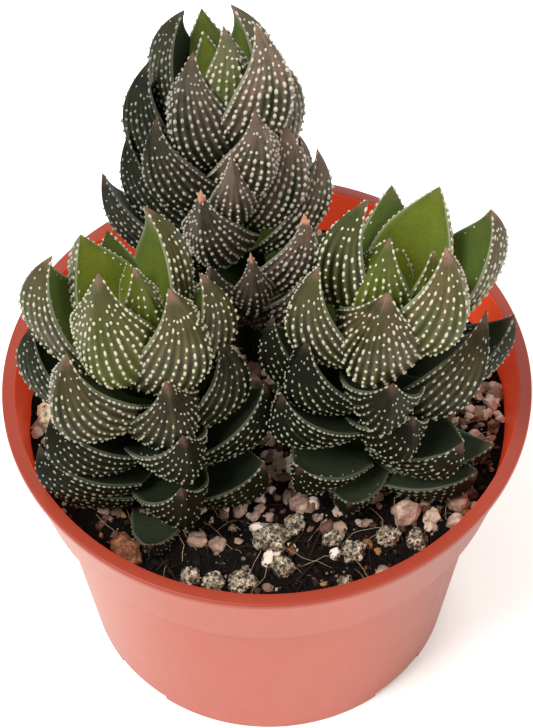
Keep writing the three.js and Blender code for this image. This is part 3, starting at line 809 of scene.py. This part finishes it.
def chip_recipe():
    """Strews rough chips over a surface, thickly where the strewn value is high, and most of them small."""
    recipe = Recipe("strewn_chips", "Seed", "Amount", "Smallest", "Largest")
    points = recipe.node(
        "GeometryNodeDistributePointsOnFaces",
        {"distribute_method": "RANDOM"},
        {
            "Mesh": recipe.given("Geometry"),
            "Density": recipe.given("Amount") * recipe.attribute("strewn"),
            "Seed": recipe.given("Seed"),
        },
        "Points",
    )
    sway = recipe.random(0.0, 1.0, 11)
    size = recipe.given("Smallest") + (recipe.given("Largest") - recipe.given("Smallest")) * sway ** 2
    flat = recipe.random(0.45, 0.8, 12)
    chips = recipe.node(
        "GeometryNodeInstanceOnPoints",
        None,
        {
            "Points": points,
            "Instance": chip_shapes(recipe),
            "Pick Instance": True,
            "Instance Index": recipe.random(0, CHIP_SHAPES - 1, 13, "INT"),
            "Rotation": recipe.random((-0.5, -0.5, 0), (0.5, 0.5, 6.28), 14, "FLOAT_VECTOR"),
            "Scale": recipe.vector(size, size * recipe.random(0.6, 1.0, 15), size * flat),
        },
    )
    toned = recipe.node(
        "GeometryNodeStoreNamedAttribute",
        {"data_type": "FLOAT", "domain": "INSTANCE"},
        {"Geometry": chips, "Name": "tone", "Value": recipe.random(0.0, 1.0, 16)},
    )
    recipe.end(toned, False)
    return recipe


def chip_finish(name, *stops, rough=0.9):
    """Stony or woody chips, each in its own tone."""
    finish = Finish(name)
    grain = finish.noise(0.6, 4, 0.65)
    colour = finish.ramp(finish.value("tone") * 0.8 + grain * 0.3 - 0.05, *stops)
    relief = finish.bump(grain, 0.25, 0.8)
    return finish.close(colour, rough, relief, Specular_IOR_Level=0.12)


def peat_chance(x, y):
    """Crumbs of peat lie all over, most of all in the front."""
    front = np.clip((-22 - y) / 8, 0, 1)
    return np.clip(0.55 + 0.5 * front + 0.5 * stirred(x, y, 7, 3.1), 0.15, 1.2)


def grit_chance(x, y):
    """Pink and brown grit lies all over in uneven patches, but for the front, where there is hardly any."""
    behind = np.clip((y + 32) / 8, 0, 1)
    return np.clip((0.04 + 1.1 * behind) * (0.95 + 0.6 * stirred(x, y, 9, 5.2)), 0, 1.4)


def bark_chance(x, y):
    """Coir crumbs gather along the right wall."""
    right = np.exp(-((x - 40) ** 2 + (y + 12) ** 2) / 260)
    return np.clip(0.12 + right + 0.3 * stirred(x, y, 8, 9.4), 0, 1.2)


def stone_chance(x, y):
    """Larger pale stones lie between the stems and along the right wall."""
    middle = np.exp(-((x - 1) ** 2) / 160 - (y + 6) ** 2 / 500)
    right = np.exp(-((x - 40) ** 2 + (y - 2) ** 2) / 170)
    return np.clip(1.6 * middle + 1.4 * right + 0.3 * stirred(x, y, 5, 8.1) - 0.12, 0, 1.6)


def pale_chance(x, y):
    """Mineral dust and pumice grains lie in patches."""
    return np.clip(0.4 + 0.9 * stirred(x, y, 6, 2.2), 0, 1)


def fibre_chance(x, y):
    """Fibres lie mostly in the front, and along the right wall."""
    return 1.0 if y < -26 else (0.7 if x > 30 else 0.2)


def make_chips():
    """Each kind of chip: where it lies, how many to a square metre at a chance of 1, its sizes and finish."""
    recipe = chip_recipe()
    kinds = [
        ("peat_crumbs", peat_chance, 260000, 0.7, 2.0, chip_finish(
            "peat_crumb", (0, paint(8, 6, 6)), (0.5, paint(20, 15, 13)), (0.8, paint(48, 35, 27)),
            (1, paint(92, 70, 54)))),
        ("grit_chips", grit_chance, 150000, 1.2, 3.8, chip_finish(
            "pink_grit", (0, paint(56, 38, 32)), (0.3, paint(104, 78, 66)), (0.65, paint(150, 124, 106)),
            (0.95, paint(200, 180, 160)))),
        ("pale_stones", stone_chance, 95000, 2.0, 4.4, chip_finish(
            "pale_pink_stone", (0, paint(132, 104, 92)), (0.4, paint(198, 170, 154)),
            (0.9, paint(242, 228, 214)))),
        ("bark_chips", bark_chance, 110000, 1.0, 2.8, chip_finish(
            "coir_crumb", (0, paint(58, 36, 24)), (0.5, paint(112, 74, 46)), (1, paint(168, 124, 80)))),
        ("pale_dust", pale_chance, 160000, 0.2, 0.55, chip_finish(
            "mineral_dust", (0, paint(96, 88, 78)), (0.6, paint(150, 142, 128)), (1, paint(206, 200, 186)))),
        ("pale_grains", pale_chance, 40000, 0.6, 2.0, chip_finish(
            "pumice_grain", (0, paint(82, 72, 60)), (0.5, paint(138, 128, 110)), (1, paint(186, 178, 160)))),
    ]
    for i, (name, chance, amount, smallest, largest, material) in enumerate(kinds):
        sheet = soil_patch(name + "_sheet", chance)
        piece = recipe.grow(
            name, sheet, Material=material, Seed=SEED + i, Amount=float(amount),
            Smallest=smallest * MM, Largest=largest * MM,
        )
        dress(piece, "soil_mix")


def fibre_finish(name, dark, pale):
    """Dull plant fibre, darker and paler by turns."""
    finish = Finish(name)
    colour = finish.mix(finish.noise(2.5, 3), dark, pale)
    relief = finish.bump(finish.noise(0.3, 3), 0.08, 0.7)
    return finish.close(colour, 0.9, relief, Specular_IOR_Level=0.1)


def thread_recipe():
    """Turns chains of edges into thin tubes whose radius is read from the points."""
    recipe = Recipe("threads")
    inputs = {
        "Curve": recipe.node("GeometryNodeMeshToCurve", None, {"Mesh": recipe.given("Geometry")}),
        "Profile Curve": recipe.node(
            "GeometryNodeCurvePrimitiveCircle", None, {"Resolution": 5, "Radius": 1.0}, "Curve"
        ),
        "Scale": recipe.attribute("thickness"),
        "Fill Caps": True,
    }
    recipe.end(recipe.node("GeometryNodeCurveToMesh", None, inputs), True)
    return recipe


def threads(rng, count, length, thickness, lift, sway):
    """Points, edges and radii of fine fibres that lie on the soil and arch a little over it."""
    points = []
    edges = []
    widths = []
    for _ in range(count):
        while True:
            x, y = rng.uniform(-FIBRE_REACH, FIBRE_REACH, 2)
            if math.hypot(x, y) < FIBRE_START and fibre_chance(x, y) > rng.random():
                break
        long = rng.uniform(*length)
        steps = max(FEWEST_STEPS, int(long / FIBRE_STEP))
        heading = rng.uniform(0, 2 * math.pi)
        thick = rng.uniform(*thickness) * MM
        hump = rng.uniform(*lift)
        for i in range(steps + 1):
            t = i / steps
            height = float(soil_height(x, y)) + FIBRE_REST + hump * math.sin(math.pi * t)
            points.append([x, y, height])
            widths.append(thick * (1 - 0.5 * t))
            if i:
                edges.append([len(points) - 2, len(points) - 1])
            heading += rng.normal(0, sway)
            x += math.cos(heading) * long / steps
            y += math.sin(heading) * long / steps
            if math.hypot(x, y) > FIBRE_REACH:
                heading = math.atan2(-y, -x)
    return points, edges, widths


def make_fibres():
    """Each kind of fibre: how many, their lengths, radii and arches, how far they wind, and two colours."""
    recipe = thread_recipe()
    rng = np.random.default_rng(SEED)
    kinds = [
        ("peat_fibres", 700, (2, 7), (0.04, 0.1), (0.1, 1.0), 0.35, paint(14, 10, 8), paint(48, 34, 25)),
        ("pale_roots", 60, (5, 15), (0.04, 0.08), (0.3, 1.8), 0.32, paint(104, 80, 60), paint(204, 178, 150)),
        ("dark_twigs", 60, (4, 11), (0.12, 0.26), (0.1, 0.9), 0.12, paint(22, 16, 13), paint(50, 35, 26)),
    ]
    for name, count, length, thickness, lift, sway, dark, pale in kinds:
        points, edges, widths = threads(rng, count, length, thickness, lift, sway)
        chains = mesh_object(name + "_chains", points, [], edges=edges, thickness=widths)
        piece = recipe.grow(name, chains, Material=fibre_finish(name, dark, pale))
        dress(piece, "soil_mix")


def pumice_finish():
    """Cream-white volcanic stone full of dark pores."""
    finish = Finish("pumice_stone")
    pores = finish.cells(0.95)
    fine = finish.cells(0.4)
    depth = finish.rise(pores + 0.7 * finish.noise(0.9, 4, 0.7), 0.5, 0.85) * finish.rise(fine, 0.05, 0.4)
    blotch = finish.noise(1.8, 4, 0.6)
    stone = finish.ramp(
        blotch, (0.34, paint(92, 76, 60)), (0.48, paint(156, 142, 120)), (0.66, paint(204, 192, 168))
    )
    soiled = finish.mix(finish.rise(finish.noise(2.4, 4, 0.7), 0.5, 0.62) * 0.8, stone, paint(50, 38, 30))
    colour = finish.mix(depth, paint(50, 41, 34), soiled)
    relief = finish.bump(depth, 0.45, 1.0, finish.bump(blotch, 0.5, 0.6))
    return finish.close(colour, 0.92, relief, Specular_IOR_Level=0.25)


def pebble_finish():
    """Smooth pinkish-beige pebbles, a little dusty."""
    finish = Finish("pink_pebble")
    blotch = finish.noise(2.2, 4, 0.6)
    specks = finish.noise(0.35, 3, 0.7)
    colour = finish.ramp(
        blotch * 0.7 + specks * 0.3,
        (0.32, paint(96, 68, 58)),
        (0.5, paint(150, 120, 104)),
        (0.66, paint(200, 174, 156)),
    )
    return finish.close(colour, 0.7, finish.bump(specks, 0.12, 0.7), Specular_IOR_Level=0.35)


def clay_finish():
    """Crumbly lumps: baked brown clay in the front, and pale, porous ones by the pot's wall."""
    finish = Finish("clay_lump")
    blotch = finish.noise(1.4, 5, 0.7)
    brown = finish.ramp(
        blotch, (0.34, paint(60, 34, 24)), (0.5, paint(116, 72, 48)), (0.66, paint(164, 116, 84))
    )
    pale = finish.ramp(
        blotch, (0.36, paint(70, 56, 42)), (0.47, paint(168, 148, 116)), (0.64, paint(214, 196, 162))
    )
    colour = finish.mix(finish.rise(finish.absolute(finish.measure("X")), 33, 35), brown, pale)
    return finish.close(colour, 0.9, finish.bump(blotch, 0.5, 0.9), Specular_IOR_Level=0.25)


def make_stones(name, rows, kind, material, slot, crumble):
    """All stones of one kind as one lumpy piece; crumble is how rough they are."""
    ball = bmesh.new()
    bmesh.ops.create_icosphere(ball, subdivisions=4, radius=1)
    unit = np.array([vertex.co for vertex in ball.verts])
    sides = np.array([[vertex.index for vertex in face.verts] for face in ball.faces])
    ball.free()
    points = []
    faces = []
    for i, (x, y, length, breadth, height, turn) in enumerate(rows):
        swells = zip(STONE_WAVES, (unit[:, 0], unit[:, 2], -unit[:, 1]), (length * 3, turn, 0))
        lumps = sum(np.sin(wave * run + shift) for wave, run, shift in swells)
        salt = Vector((i, 3 * i, length))
        rough = np.array([noise.fractal(Vector(u) * 2.2 + salt, 0.6, 2.2, 4) for u in unit])
        shape = unit * (1 + STONE_LUMPS * lumps * LUMP_SHARE + crumble * rough)[:, None]
        shape = shape * [length / 2, breadth / 2, height / 2]
        spin = math.radians(turn)
        across = shape[:, 0] * math.cos(spin) - shape[:, 1] * math.sin(spin)
        back = shape[:, 0] * math.sin(spin) + shape[:, 1] * math.cos(spin)
        rest = float(soil_height(x, y)) + height * (0.5 - STONE_SINK)
        faces.extend((sides + len(points) * len(unit)).tolist())
        points.append(np.stack([across + x, back + y, shape[:, 2] + rest], axis=1))
    stones = mesh_object(name, np.vstack(points), faces, material)
    dress(stones, slot, *[f"{kind}_{i + 1:02d}" for i in range(len(rows))])


Leaf = namedtuple("Leaf", "azimuth height length width lean bend sweep pinch rows")


def leaves_of(stem):
    """The stem's list of leaves, each with its sweep and the stem's pinch and row spacing."""
    return [Leaf(*row[:6], sum(row[6:]), stem["pinch"], stem["rows"]) for row in stem["leaves"]]


def leaf_width(leaf, t):
    """Half-width of a leaf along its length: drawn in at the root, and pinched towards the point."""
    share = np.clip((t - PINCH_START) / PINCH_RUN, 0, 1)
    point = 1 - leaf.pinch * share * share * (3 - 2 * share)
    waist = WAIST + (1 - WAIST) * np.minimum(1, t / WAIST_END)
    return leaf.width / 2 * point * waist * (1 - t * t) * (FULLNESS + SWELL * t)


def leaf_depth(leaf, t):
    """Thickness of a leaf along its middle."""
    base, slope, fall = DEPTH_CURVE
    return LEAF_THICKNESS * leaf.width * (base + slope * t + fall * t * t) * (1 - t**4)


def leaf_points(leaf, t, s, outer):
    """Points of a leaf in its stem's frame: t runs from root to tip, s from margin to margin."""
    start, curl, facing = (math.radians(angle) for angle in (leaf.lean, leaf.bend, leaf.azimuth))
    t, s, outer = np.broadcast_arrays(*(np.asarray(values, float) for values in (t, s, outer)))
    angle = start + curl * t
    reach = leaf.length / curl
    radial = LEAF_ROOT + reach * (np.sin(angle) - math.sin(start))
    rise = leaf.height - reach * (np.cos(angle) - math.cos(start))
    spread = leaf_width(leaf, t) / LEAF_WRAP
    side = LEAF_WRAP * np.sin(s * spread) + leaf.sweep * t * t
    keel = LEAF_KEEL * np.clip((t - KEEL_START) / KEEL_RUN, 0, 1)
    crown = (1 - keel) * (1 - s * s) + keel * (KEEL_TOP - np.sqrt(s * s + KEEL_ROUNDING))
    fill = LEAF_FILL * LEAF_WRAP * (1 - np.cos(spread)) * (1 - s * s)
    edge = EDGE_THICKNESS * np.clip(1 - t, 0, EDGE_FADE) / EDGE_FADE
    depth = np.where(outer > 0.5, leaf_depth(leaf, t) * crown + edge, -fill - edge)
    offset = depth - LEAF_WRAP * (1 - np.cos(s * spread))
    out = radial + offset * np.sin(angle)
    return np.stack(
        [
            side * math.cos(facing) + out * math.sin(facing),
            side * math.sin(facing) - out * math.cos(facing),
            rise - offset * np.cos(angle),
        ],
        axis=-1,
    )


def leaf_normals(leaf, t, s, outer):
    """Unit vectors outwards and towards the tip, at points of a leaf."""
    step = 0.01
    along = leaf_points(leaf, t + step, s, outer) - leaf_points(leaf, t - step, s, outer)
    across = leaf_points(leaf, t, s + step, outer) - leaf_points(leaf, t, s - step, outer)
    normal = np.cross(across, along) * (2 * np.asarray(outer) - 1)[..., None]
    return [
        rows / np.maximum(np.linalg.norm(rows, axis=-1, keepdims=True), TINY) for rows in (normal, along)
    ]


def row_phase(leaf, s):
    """Count of tubercle rows from the left margin up to s; the rows run where it is a whole number."""
    section = leaf_points(leaf, 0.5, SECTION, 1.0)
    run = np.append(0, np.cumsum(np.linalg.norm(np.diff(section, axis=0), axis=1)))
    count = max(FEWEST_ROWS, round(run[-1] / leaf.rows))
    return np.interp(s, SECTION, run) * count / run[-1]


def stem_matrix(stem):
    """How a stem is turned, and where its foot stands."""
    heading = math.radians(stem["toward"])
    tilt = math.radians(stem["tilt"])
    lean = Vector((math.sin(heading) * math.sin(tilt), -math.cos(heading) * math.sin(tilt), math.cos(tilt)))
    turn = Vector((0, 0, 1)).rotation_difference(lean).to_matrix()
    foot = Vector((*stem["foot"], SOIL_LEVEL))
    return np.array(turn), np.array(foot)


def leaf_mesh(leaf):
    """Ring-shaped rows of one leaf: the outer face from margin to margin, then the inner face back."""
    t = 1 - (1 - np.linspace(0, 1, LEAF_ROWS + 1)[:-1]) ** ROW_CROWDING
    outer_s = np.linspace(-1, 1, OUTER_COLUMNS + 1)
    inner_s = np.linspace(1, -1, INNER_COLUMNS + 1)
    s = np.concatenate([outer_s, inner_s])
    outer = np.concatenate([np.ones(len(outer_s)), np.zeros(len(inner_s))])
    points = leaf_points(leaf, t[:, None], s[None, :], outer[None, :])
    columns = len(s)
    tip = leaf_points(leaf, [1.0], [0.0], [1.0])
    flat = np.vstack([points.reshape(-1, 3), tip])
    faces = ring_faces(len(t), columns)
    last = (len(t) - 1) * columns
    faces += [[last + i, last + (i + 1) % columns, len(flat) - 1] for i in range(columns)]
    faces.append(list(range(columns))[::-1])
    phase = np.concatenate([row_phase(leaf, outer_s), np.zeros(len(inner_s))])
    values = {
        "along": np.append(np.repeat(t, columns), 1.0),
        "across": np.append(np.tile(s, len(t)), 0.0),
        "inner": np.append(np.tile(1 - outer, len(t)), 0.0),
        "phase": np.append(np.tile(phase, len(t)), phase.max() / 2),
    }
    return flat, faces, values


def leaf_character(leaves, stem, rng):
    """How young and flushed each leaf is, its painted light level, its own tone, and whether its tip has
    dried.
    """
    top = max(leaf.height for leaf in leaves)
    rows = []
    for i, leaf in enumerate(leaves):
        youth = float(np.clip(1.25 - 0.27 * i, 0, 1))
        lift = 0.5 if i in stem["light"] else 0
        # Painted shade: leaves low on the stem get a low painted light level
        above = (leaf.height / top - stem["dark"]) / 0.4
        light = float(np.clip(above + lift + rng.uniform(-0.12, 0.12), 0, 1))
        dry = float(i in stem["dry"])
        sunny = math.cos(math.radians(leaf.azimuth - stem["sunny"]))
        flush = float(np.clip(0.55 + 0.4 * sunny + rng.uniform(-0.25, 0.25), 0.1, 1))
        light *= stem["top"] * (1 - stem["dull"] * (0.5 - 0.5 * sunny) * (1 - youth))
        rows.append({"youth": youth, "light": light, "flush": flush, "tone": rng.uniform(0, 1), "dry": dry})
    return rows


# Skin colours: shade is painted shade in the grooves and on unlit leaves, and flesh is on the ribs of a grown
# leaf; then on a young one, where the sun has flushed it, at its root (partly painted shade) and tip, along
# its margin and as a painted highlight on lit ribs, and on the inner face of young and grown leaves, with
# deep as painted shade on the inner face of unlit leaves
GREEN = {
    "shade": paint(10, 15, 8),
    "flesh": paint(66, 74, 24),
    "fresh": paint(88, 102, 22),
    "flush": paint(93, 72, 53),
    "root": paint(58, 50, 34),
    "tip": paint(124, 92, 80),
    "frost": paint(134, 136, 114),
    "lime": paint(97, 105, 26),
    "moss": paint(69, 84, 36),
    "deep": paint(46, 53, 38),
}
BRONZE = {
    "shade": paint(18, 22, 14),
    "flesh": paint(57, 70, 42),
    "fresh": paint(76, 86, 38),
    "flush": paint(116, 90, 79),
    "root": paint(38, 40, 28),
    "tip": paint(108, 82, 68),
    "frost": paint(128, 124, 110),
    "lime": paint(88, 98, 36),
    "moss": paint(54, 66, 32),
    "deep": paint(42, 50, 38),
}
DRIED_TIP = paint(196, 134, 108)


Skin = namedtuple("Skin", "along across edge youth light flush tone clouds mottle speck ridge")


def outer_face(finish, palette, skin):
    """Painted shade in the grooves and on unlit leaves; flushed patches, a withered tip and a frosted margin.
    """
    along, light, flush, ridge = skin.along, skin.light, skin.flush, skin.ridge
    ribs = finish.streaks(skin.across * 6, along * 1.3, skin.tone * 10)
    # Painted shade: the grooves and unlit leaves take the shade colour
    flesh = light * 0.75 + skin.clouds * 0.6 + ribs * 0.6 + ridge * 0.8 - 1.1
    grown = finish.mix(flesh, palette["shade"], palette["flesh"])
    fresh = finish.mix(skin.youth * finish.rise(along, 1.3, 0.3), grown, palette["fresh"])
    patches = skin.clouds + ribs * 0.7 + along * 0.4 + skin.edge * 0.3 + skin.across * 0.12
    brown = finish.rise(patches, 0.9, 1.4) * flush * (0.9 - 0.6 * skin.youth)
    flushed = finish.mix(brown * (0.1 + 0.9 * light) * (0.6 + 0.4 * ridge), fresh, palette["flush"])
    # Painted highlight: pale frost on the tops of the ribs of lit leaves
    painted_rib_highlight = finish.mix(ridge ** 3 * 0.2 * light, flushed, palette["frost"])
    # Towards the root: partly the root's own colour and partly painted shade
    root_colour_and_shade = finish.mix(finish.rise(along, 0.45, 0.1) * light * 0.6, painted_rib_highlight, palette["root"])
    withered = finish.rise(along + 0.08 * skin.mottle, 0.93, 1.02)
    tipped = finish.mix(withered * (0.3 + 0.7 * flush) * (0.35 + 0.65 * light), root_colour_and_shade, palette["tip"])
    frost = finish.rise(skin.edge, 0.95, 1.0) * (0.2 + 0.4 * skin.mottle) * (0.4 + 0.6 * light)
    return finish.mix(frost, tipped, palette["frost"])


def inner_face(finish, palette, skin):
    """Lime and veined on lit leaves, deep green as painted shade on unlit ones, with fine dots and a pale
    edge.
    """
    along, light, tone = skin.along, skin.light, skin.tone
    green = skin.clouds * 1.1 + tone * 0.4 - skin.youth * 0.9 + 0.1
    young = finish.mix(green, palette["lime"], palette["moss"])
    # Painted shade: the inner faces of unlit leaves turn deep green
    painted_shade_inner = finish.mix(light * (0.4 + 0.6 * tone), palette["deep"], palette["moss"])
    veins = finish.streaks(skin.across * 14, along * 2, tone * 10)
    rimmed = finish.mix(finish.rise(skin.edge + skin.clouds * 0.4, 0.5, 1.2) * 0.6, young, palette["moss"])
    pale_veins = finish.rise(along + skin.clouds * 0.3 + veins * 0.8, 1.3, 0.8) * (0.25 + 0.45 * skin.youth)
    basal = finish.mix(pale_veins, rimmed, palette["lime"])
    whole = finish.mix(finish.rise(light + skin.youth * 0.3, 0.35, 0.75), painted_shade_inner, basal)
    dotted = finish.mix(finish.rise(skin.speck, 0.45, 0.62) * 0.25, whole, palette["deep"])
    brown_end = finish.mix(finish.rise(along, 0.84, 1.0) * 0.6 * skin.flush, dotted, palette["tip"])
    return finish.mix(finish.rise(skin.edge, 0.9, 1.0) * (0.3 + 0.5 * light), brown_end, palette["frost"])


def leaf_skin(name, palette):
    """Waxy leaf, ribbed outside and smooth inside, with a painted glow on the inner face of lit leaves."""
    finish = Finish(name)
    values = {key: finish.value(key) for key in ("along", "across", "youth", "light", "flush", "tone")}
    along, light, tone = values["along"], values["light"], values["tone"]
    row = finish.node("ShaderNodeMath", {"operation": "COSINE"}, {0: finish.value("phase") * math.tau})
    ridge = 0.5 + 0.5 * row * finish.rise(along, 0.85, 0.55)
    clouds = finish.noise(5, 4, 0.6)
    mottle = finish.noise(1.1, 4, 0.65)
    speck = finish.noise(0.35, 3, 0.7)
    edge = finish.absolute(values["across"])
    skin = Skin(edge=edge, clouds=clouds, mottle=mottle, speck=speck, ridge=ridge, **values)
    inner = finish.value("inner")
    whole = finish.mix(inner, outer_face(finish, palette, skin), inner_face(finish, palette, skin))
    face = finish.mix(finish.value("dry") * finish.rise(along, 0.91, 0.94), whole, DRIED_TIP)
    grain = 0.74 + 0.5 * (speck * 0.5 + mottle * 0.5)
    darkened = {0: face, "Scale": grain * (0.88 + 0.24 * tone)}
    shaded = finish.node("ShaderNodeVectorMath", {"operation": "SCALE"}, darkened)
    relief = finish.bump(mottle, 0.25, 0.7, finish.bump(speck, 0.07, 0.7, finish.bump(ridge, 0.35, 0.6)))
    # Painted glow: the inner faces of lit leaves give off light of their own colour
    painted_leaf_glow = finish.mix(inner * finish.rise(light, 0.3, 0.9), paint(0, 0, 0), shaded)
    return finish.close(
        shaded, 0.44 + 0.2 * mottle, relief, Specular_IOR_Level=0.05, Coat_Weight=0.3 * light,
        Coat_Roughness=0.3, Emission_Color=painted_leaf_glow, Emission_Strength=0.38,
    )


def tubercle_finish(name, pale, dull, low):
    """Chalky tubercles: pale on lit leaves, dull as painted shade on unlit ones, and the low colour painted
    near the soil.
    """
    finish = Finish(name)
    chalk = finish.noise(0.5, 3, 0.6)
    clean = finish.mix(finish.value("light") * 0.8 + chalk * 0.4 - 0.1, dull, pale)
    # Near the soil the tubercles take the low colour: painted shade on the cream ones, painted light on the
    # grey ones
    painted_near_soil = finish.rise(finish.measure("Z"), SOIL_LEVEL + 24, SOIL_LEVEL + 4)
    colour = finish.mix(painted_near_soil, clean, low)
    return finish.close(colour, 0.5, finish.bump(chalk, 0.1, 0.6), Specular_IOR_Level=0.4)


def row_places(leaf):
    """Values of s at which the rows of tubercles run."""
    phase = row_phase(leaf, SECTION)
    return np.interp(np.arange(1, round(phase[-1])), phase, SECTION)


def leaf_beads(leaf, character, stem, rng):
    """Tubercles of one leaf as [t, s, outer, size, stretch]; those of dark leaves are smaller."""
    rows = []
    lit = stem["bead"] * (0.74 + 0.26 * character["light"])
    step = BEAD_PITCH * leaf.rows / leaf.length
    for s in row_places(leaf):
        shift = rng.uniform(0, 1)
        for k in range(int(BEAD_RUN / step)):
            t = BEAD_START + (k + shift + rng.uniform(-BEAD_JITTER, BEAD_JITTER)) * step
            crowd = leaf_width(leaf, t) / FULL_HALF_WIDTH
            sparse = min(1, max(0, t - THINNING_START) / THINNING_RUN)
            if rng.random() < min(0.97, 2.5 * crowd - 0.1) * (1 - 0.5 * sparse):
                size = (0.72 + 0.36 * min(1, t / 0.4)) * rng.uniform(0.8, 1.15) * (0.7 + 0.3 * crowd)
                size *= 1 - 0.28 * sparse
                stretch = 1.1 + stem["dash"] * rng.choice(DASHES, p=DASH_ODDS)
                rows.append([t, s + rng.normal(0, 0.012), 1.0, size * lit, stretch])
    for side in (-1, 1):
        t, end = MARGIN_ENDS
        while t < end:
            rows.append([t, side * MARGIN_PLACE, 1.0, rng.uniform(0.6, 0.9), rng.uniform(1.2, 2.6)])
            t += MARGIN_PITCH * rng.uniform(0.8, 1.3) / leaf.length
    for side in (-1, 1):
        t = rng.uniform(0.3, 0.5)
        while t < INNER_END and character["tone"] > 0.55:
            rows.append([t, side * INNER_PLACE, 0.0, rng.uniform(0.45, 0.7), rng.uniform(1.2, 2.2)])
            t += INNER_PITCH * rng.uniform(0.7, 1.8) / leaf.length
    return np.array(rows)


def bead_recipe():
    """Sets one small dome on each point, turned to the leaf's surface and drawn out towards its tip."""
    recipe = Recipe("tubercles", "Width", "Height")
    dome = recipe.node("GeometryNodeMeshUVSphere", None, {"Segments": 7, "Rings": 3, "Radius": 0.5}, "Mesh")
    size = recipe.attribute("size")
    wide = recipe.given("Width") * size
    turn = recipe.node(
        "FunctionNodeAxesToRotation",
        {"primary_axis": "Z", "secondary_axis": "X"},
        {"Primary Axis": recipe.attribute("outward", "FLOAT_VECTOR"),
         "Secondary Axis": recipe.attribute("tipward", "FLOAT_VECTOR")},
    )
    inputs = {
        "Points": recipe.node("GeometryNodeMeshToPoints", None, {"Mesh": recipe.given("Geometry")}),
        "Instance": dome,
        "Rotation": turn,
        "Scale": recipe.vector(wide * recipe.attribute("stretch"), wide, recipe.given("Height") * size),
    }
    recipe.end(recipe.node("GeometryNodeInstanceOnPoints", None, inputs), True)
    return recipe


def core_mesh(leaves):
    """Stem core with its root stub."""
    height = max(leaf.height for leaf in leaves)
    profile = [
        [0, -STUB_DEPTH],
        [CORE_FOOT_RADIUS, -STUB_DEPTH],
        [CORE_FOOT_RADIUS, height * CORE_STRAIGHT],
        [CORE_TOP_RADIUS, height - CORE_BUD / 2],
        [0, height + CORE_BUD / 2],
    ]
    return turned(profile, CORE_SIDES)


def make_plant(stem, skin, bead_skin, beads_tree, slot, rng):
    """A stem with its leaves as one piece, and all their tubercles as another."""
    turn, foot = stem_matrix(stem)
    leaves = leaves_of(stem)
    points, faces = core_mesh(leaves)
    parts = [points]
    keys = ("along", "across", "inner", "phase", "youth", "light", "flush", "tone", "dry")
    values = {key: [np.zeros(len(points))] for key in keys}
    total = len(points)
    beads = {"place": [], "outward": [], "tipward": [], "size": [], "stretch": [], "light": []}
    for leaf, character in zip(leaves, leaf_character(leaves, stem, rng)):
        points, sides, own = leaf_mesh(leaf)
        faces += [[corner + total for corner in side] for side in sides]
        total += len(points)
        parts.append(points)
        for key in values:
            values[key].append(own[key] if key in own else np.full(len(points), character[key]))
        t, s, outer, size, stretch = leaf_beads(leaf, character, stem, rng).T
        outward, tipward = leaf_normals(leaf, t, s, outer)
        beads["place"].append(leaf_points(leaf, t, s, outer) @ turn.T + foot)
        beads["outward"].append(outward @ turn.T)
        beads["tipward"].append(tipward @ turn.T)
        beads["size"].append(size)
        beads["stretch"].append(stretch)
        beads["light"].append(np.full(len(t), character["light"]))
    name = stem["name"]
    world = np.vstack(parts) @ turn.T + foot
    values = {key: np.concatenate(column) for key, column in values.items()}
    plant = mesh_object(name + "_leaves", world, faces, skin, **values)
    facing_out(plant.data)
    dress(plant, slot, name)
    places = np.vstack(beads.pop("place"))
    beads = {key: np.concatenate(column) for key, column in beads.items()}
    seeds = mesh_object(name + "_seeds", places, [], **beads)
    sizes = {"Width": BEAD_WIDTH * MM, "Height": BEAD_HEIGHT * MM}
    dress(beads_tree.grow(name + "_tubercles", seeds, Material=bead_skin, **sizes), slot)


def make_plants():
    """The three stems; one run of random draws goes through them all."""
    rng = np.random.default_rng(SEED + 20)
    beads_tree = bead_recipe()
    # Tubercle colours: pale, then dull as painted shade on unlit leaves, then the painted colour near the
    # soil
    cream = [paint(192, 184, 158), paint(124, 128, 106), paint(72, 74, 60)]
    grey = [paint(180, 171, 154), paint(90, 97, 84), paint(124, 122, 106)]
    cream_beads = tubercle_finish("tubercle_cream", *cream)
    grey_beads = tubercle_finish("tubercle_grey", *grey)
    green = leaf_skin("leaf_green", GREEN)
    bronze = leaf_skin("leaf_bronze", BRONZE)
    skins = {"green": (green, cream_beads, "leaf_green"), "bronze": (bronze, grey_beads, "leaf_bronze")}
    for stem in STEMS:
        skin, bead_skin, slot = skins[stem["skin"]]
        make_plant(stem, skin, bead_skin, beads_tree, slot, rng)


set_camera()
set_studio()
make_pot()
make_soil()
make_chips()
make_fibres()
make_stones("pumice_stones", PUMICE, "pumice", pumice_finish(), "pumice", 0.28)
make_stones("pebble_stones", PEBBLES, "pebble", pebble_finish(), "pebble", 0.08)
make_stones("clay_lumps", CLAY, "clay_lump", clay_finish(), "clay", 0.28)
make_plants()
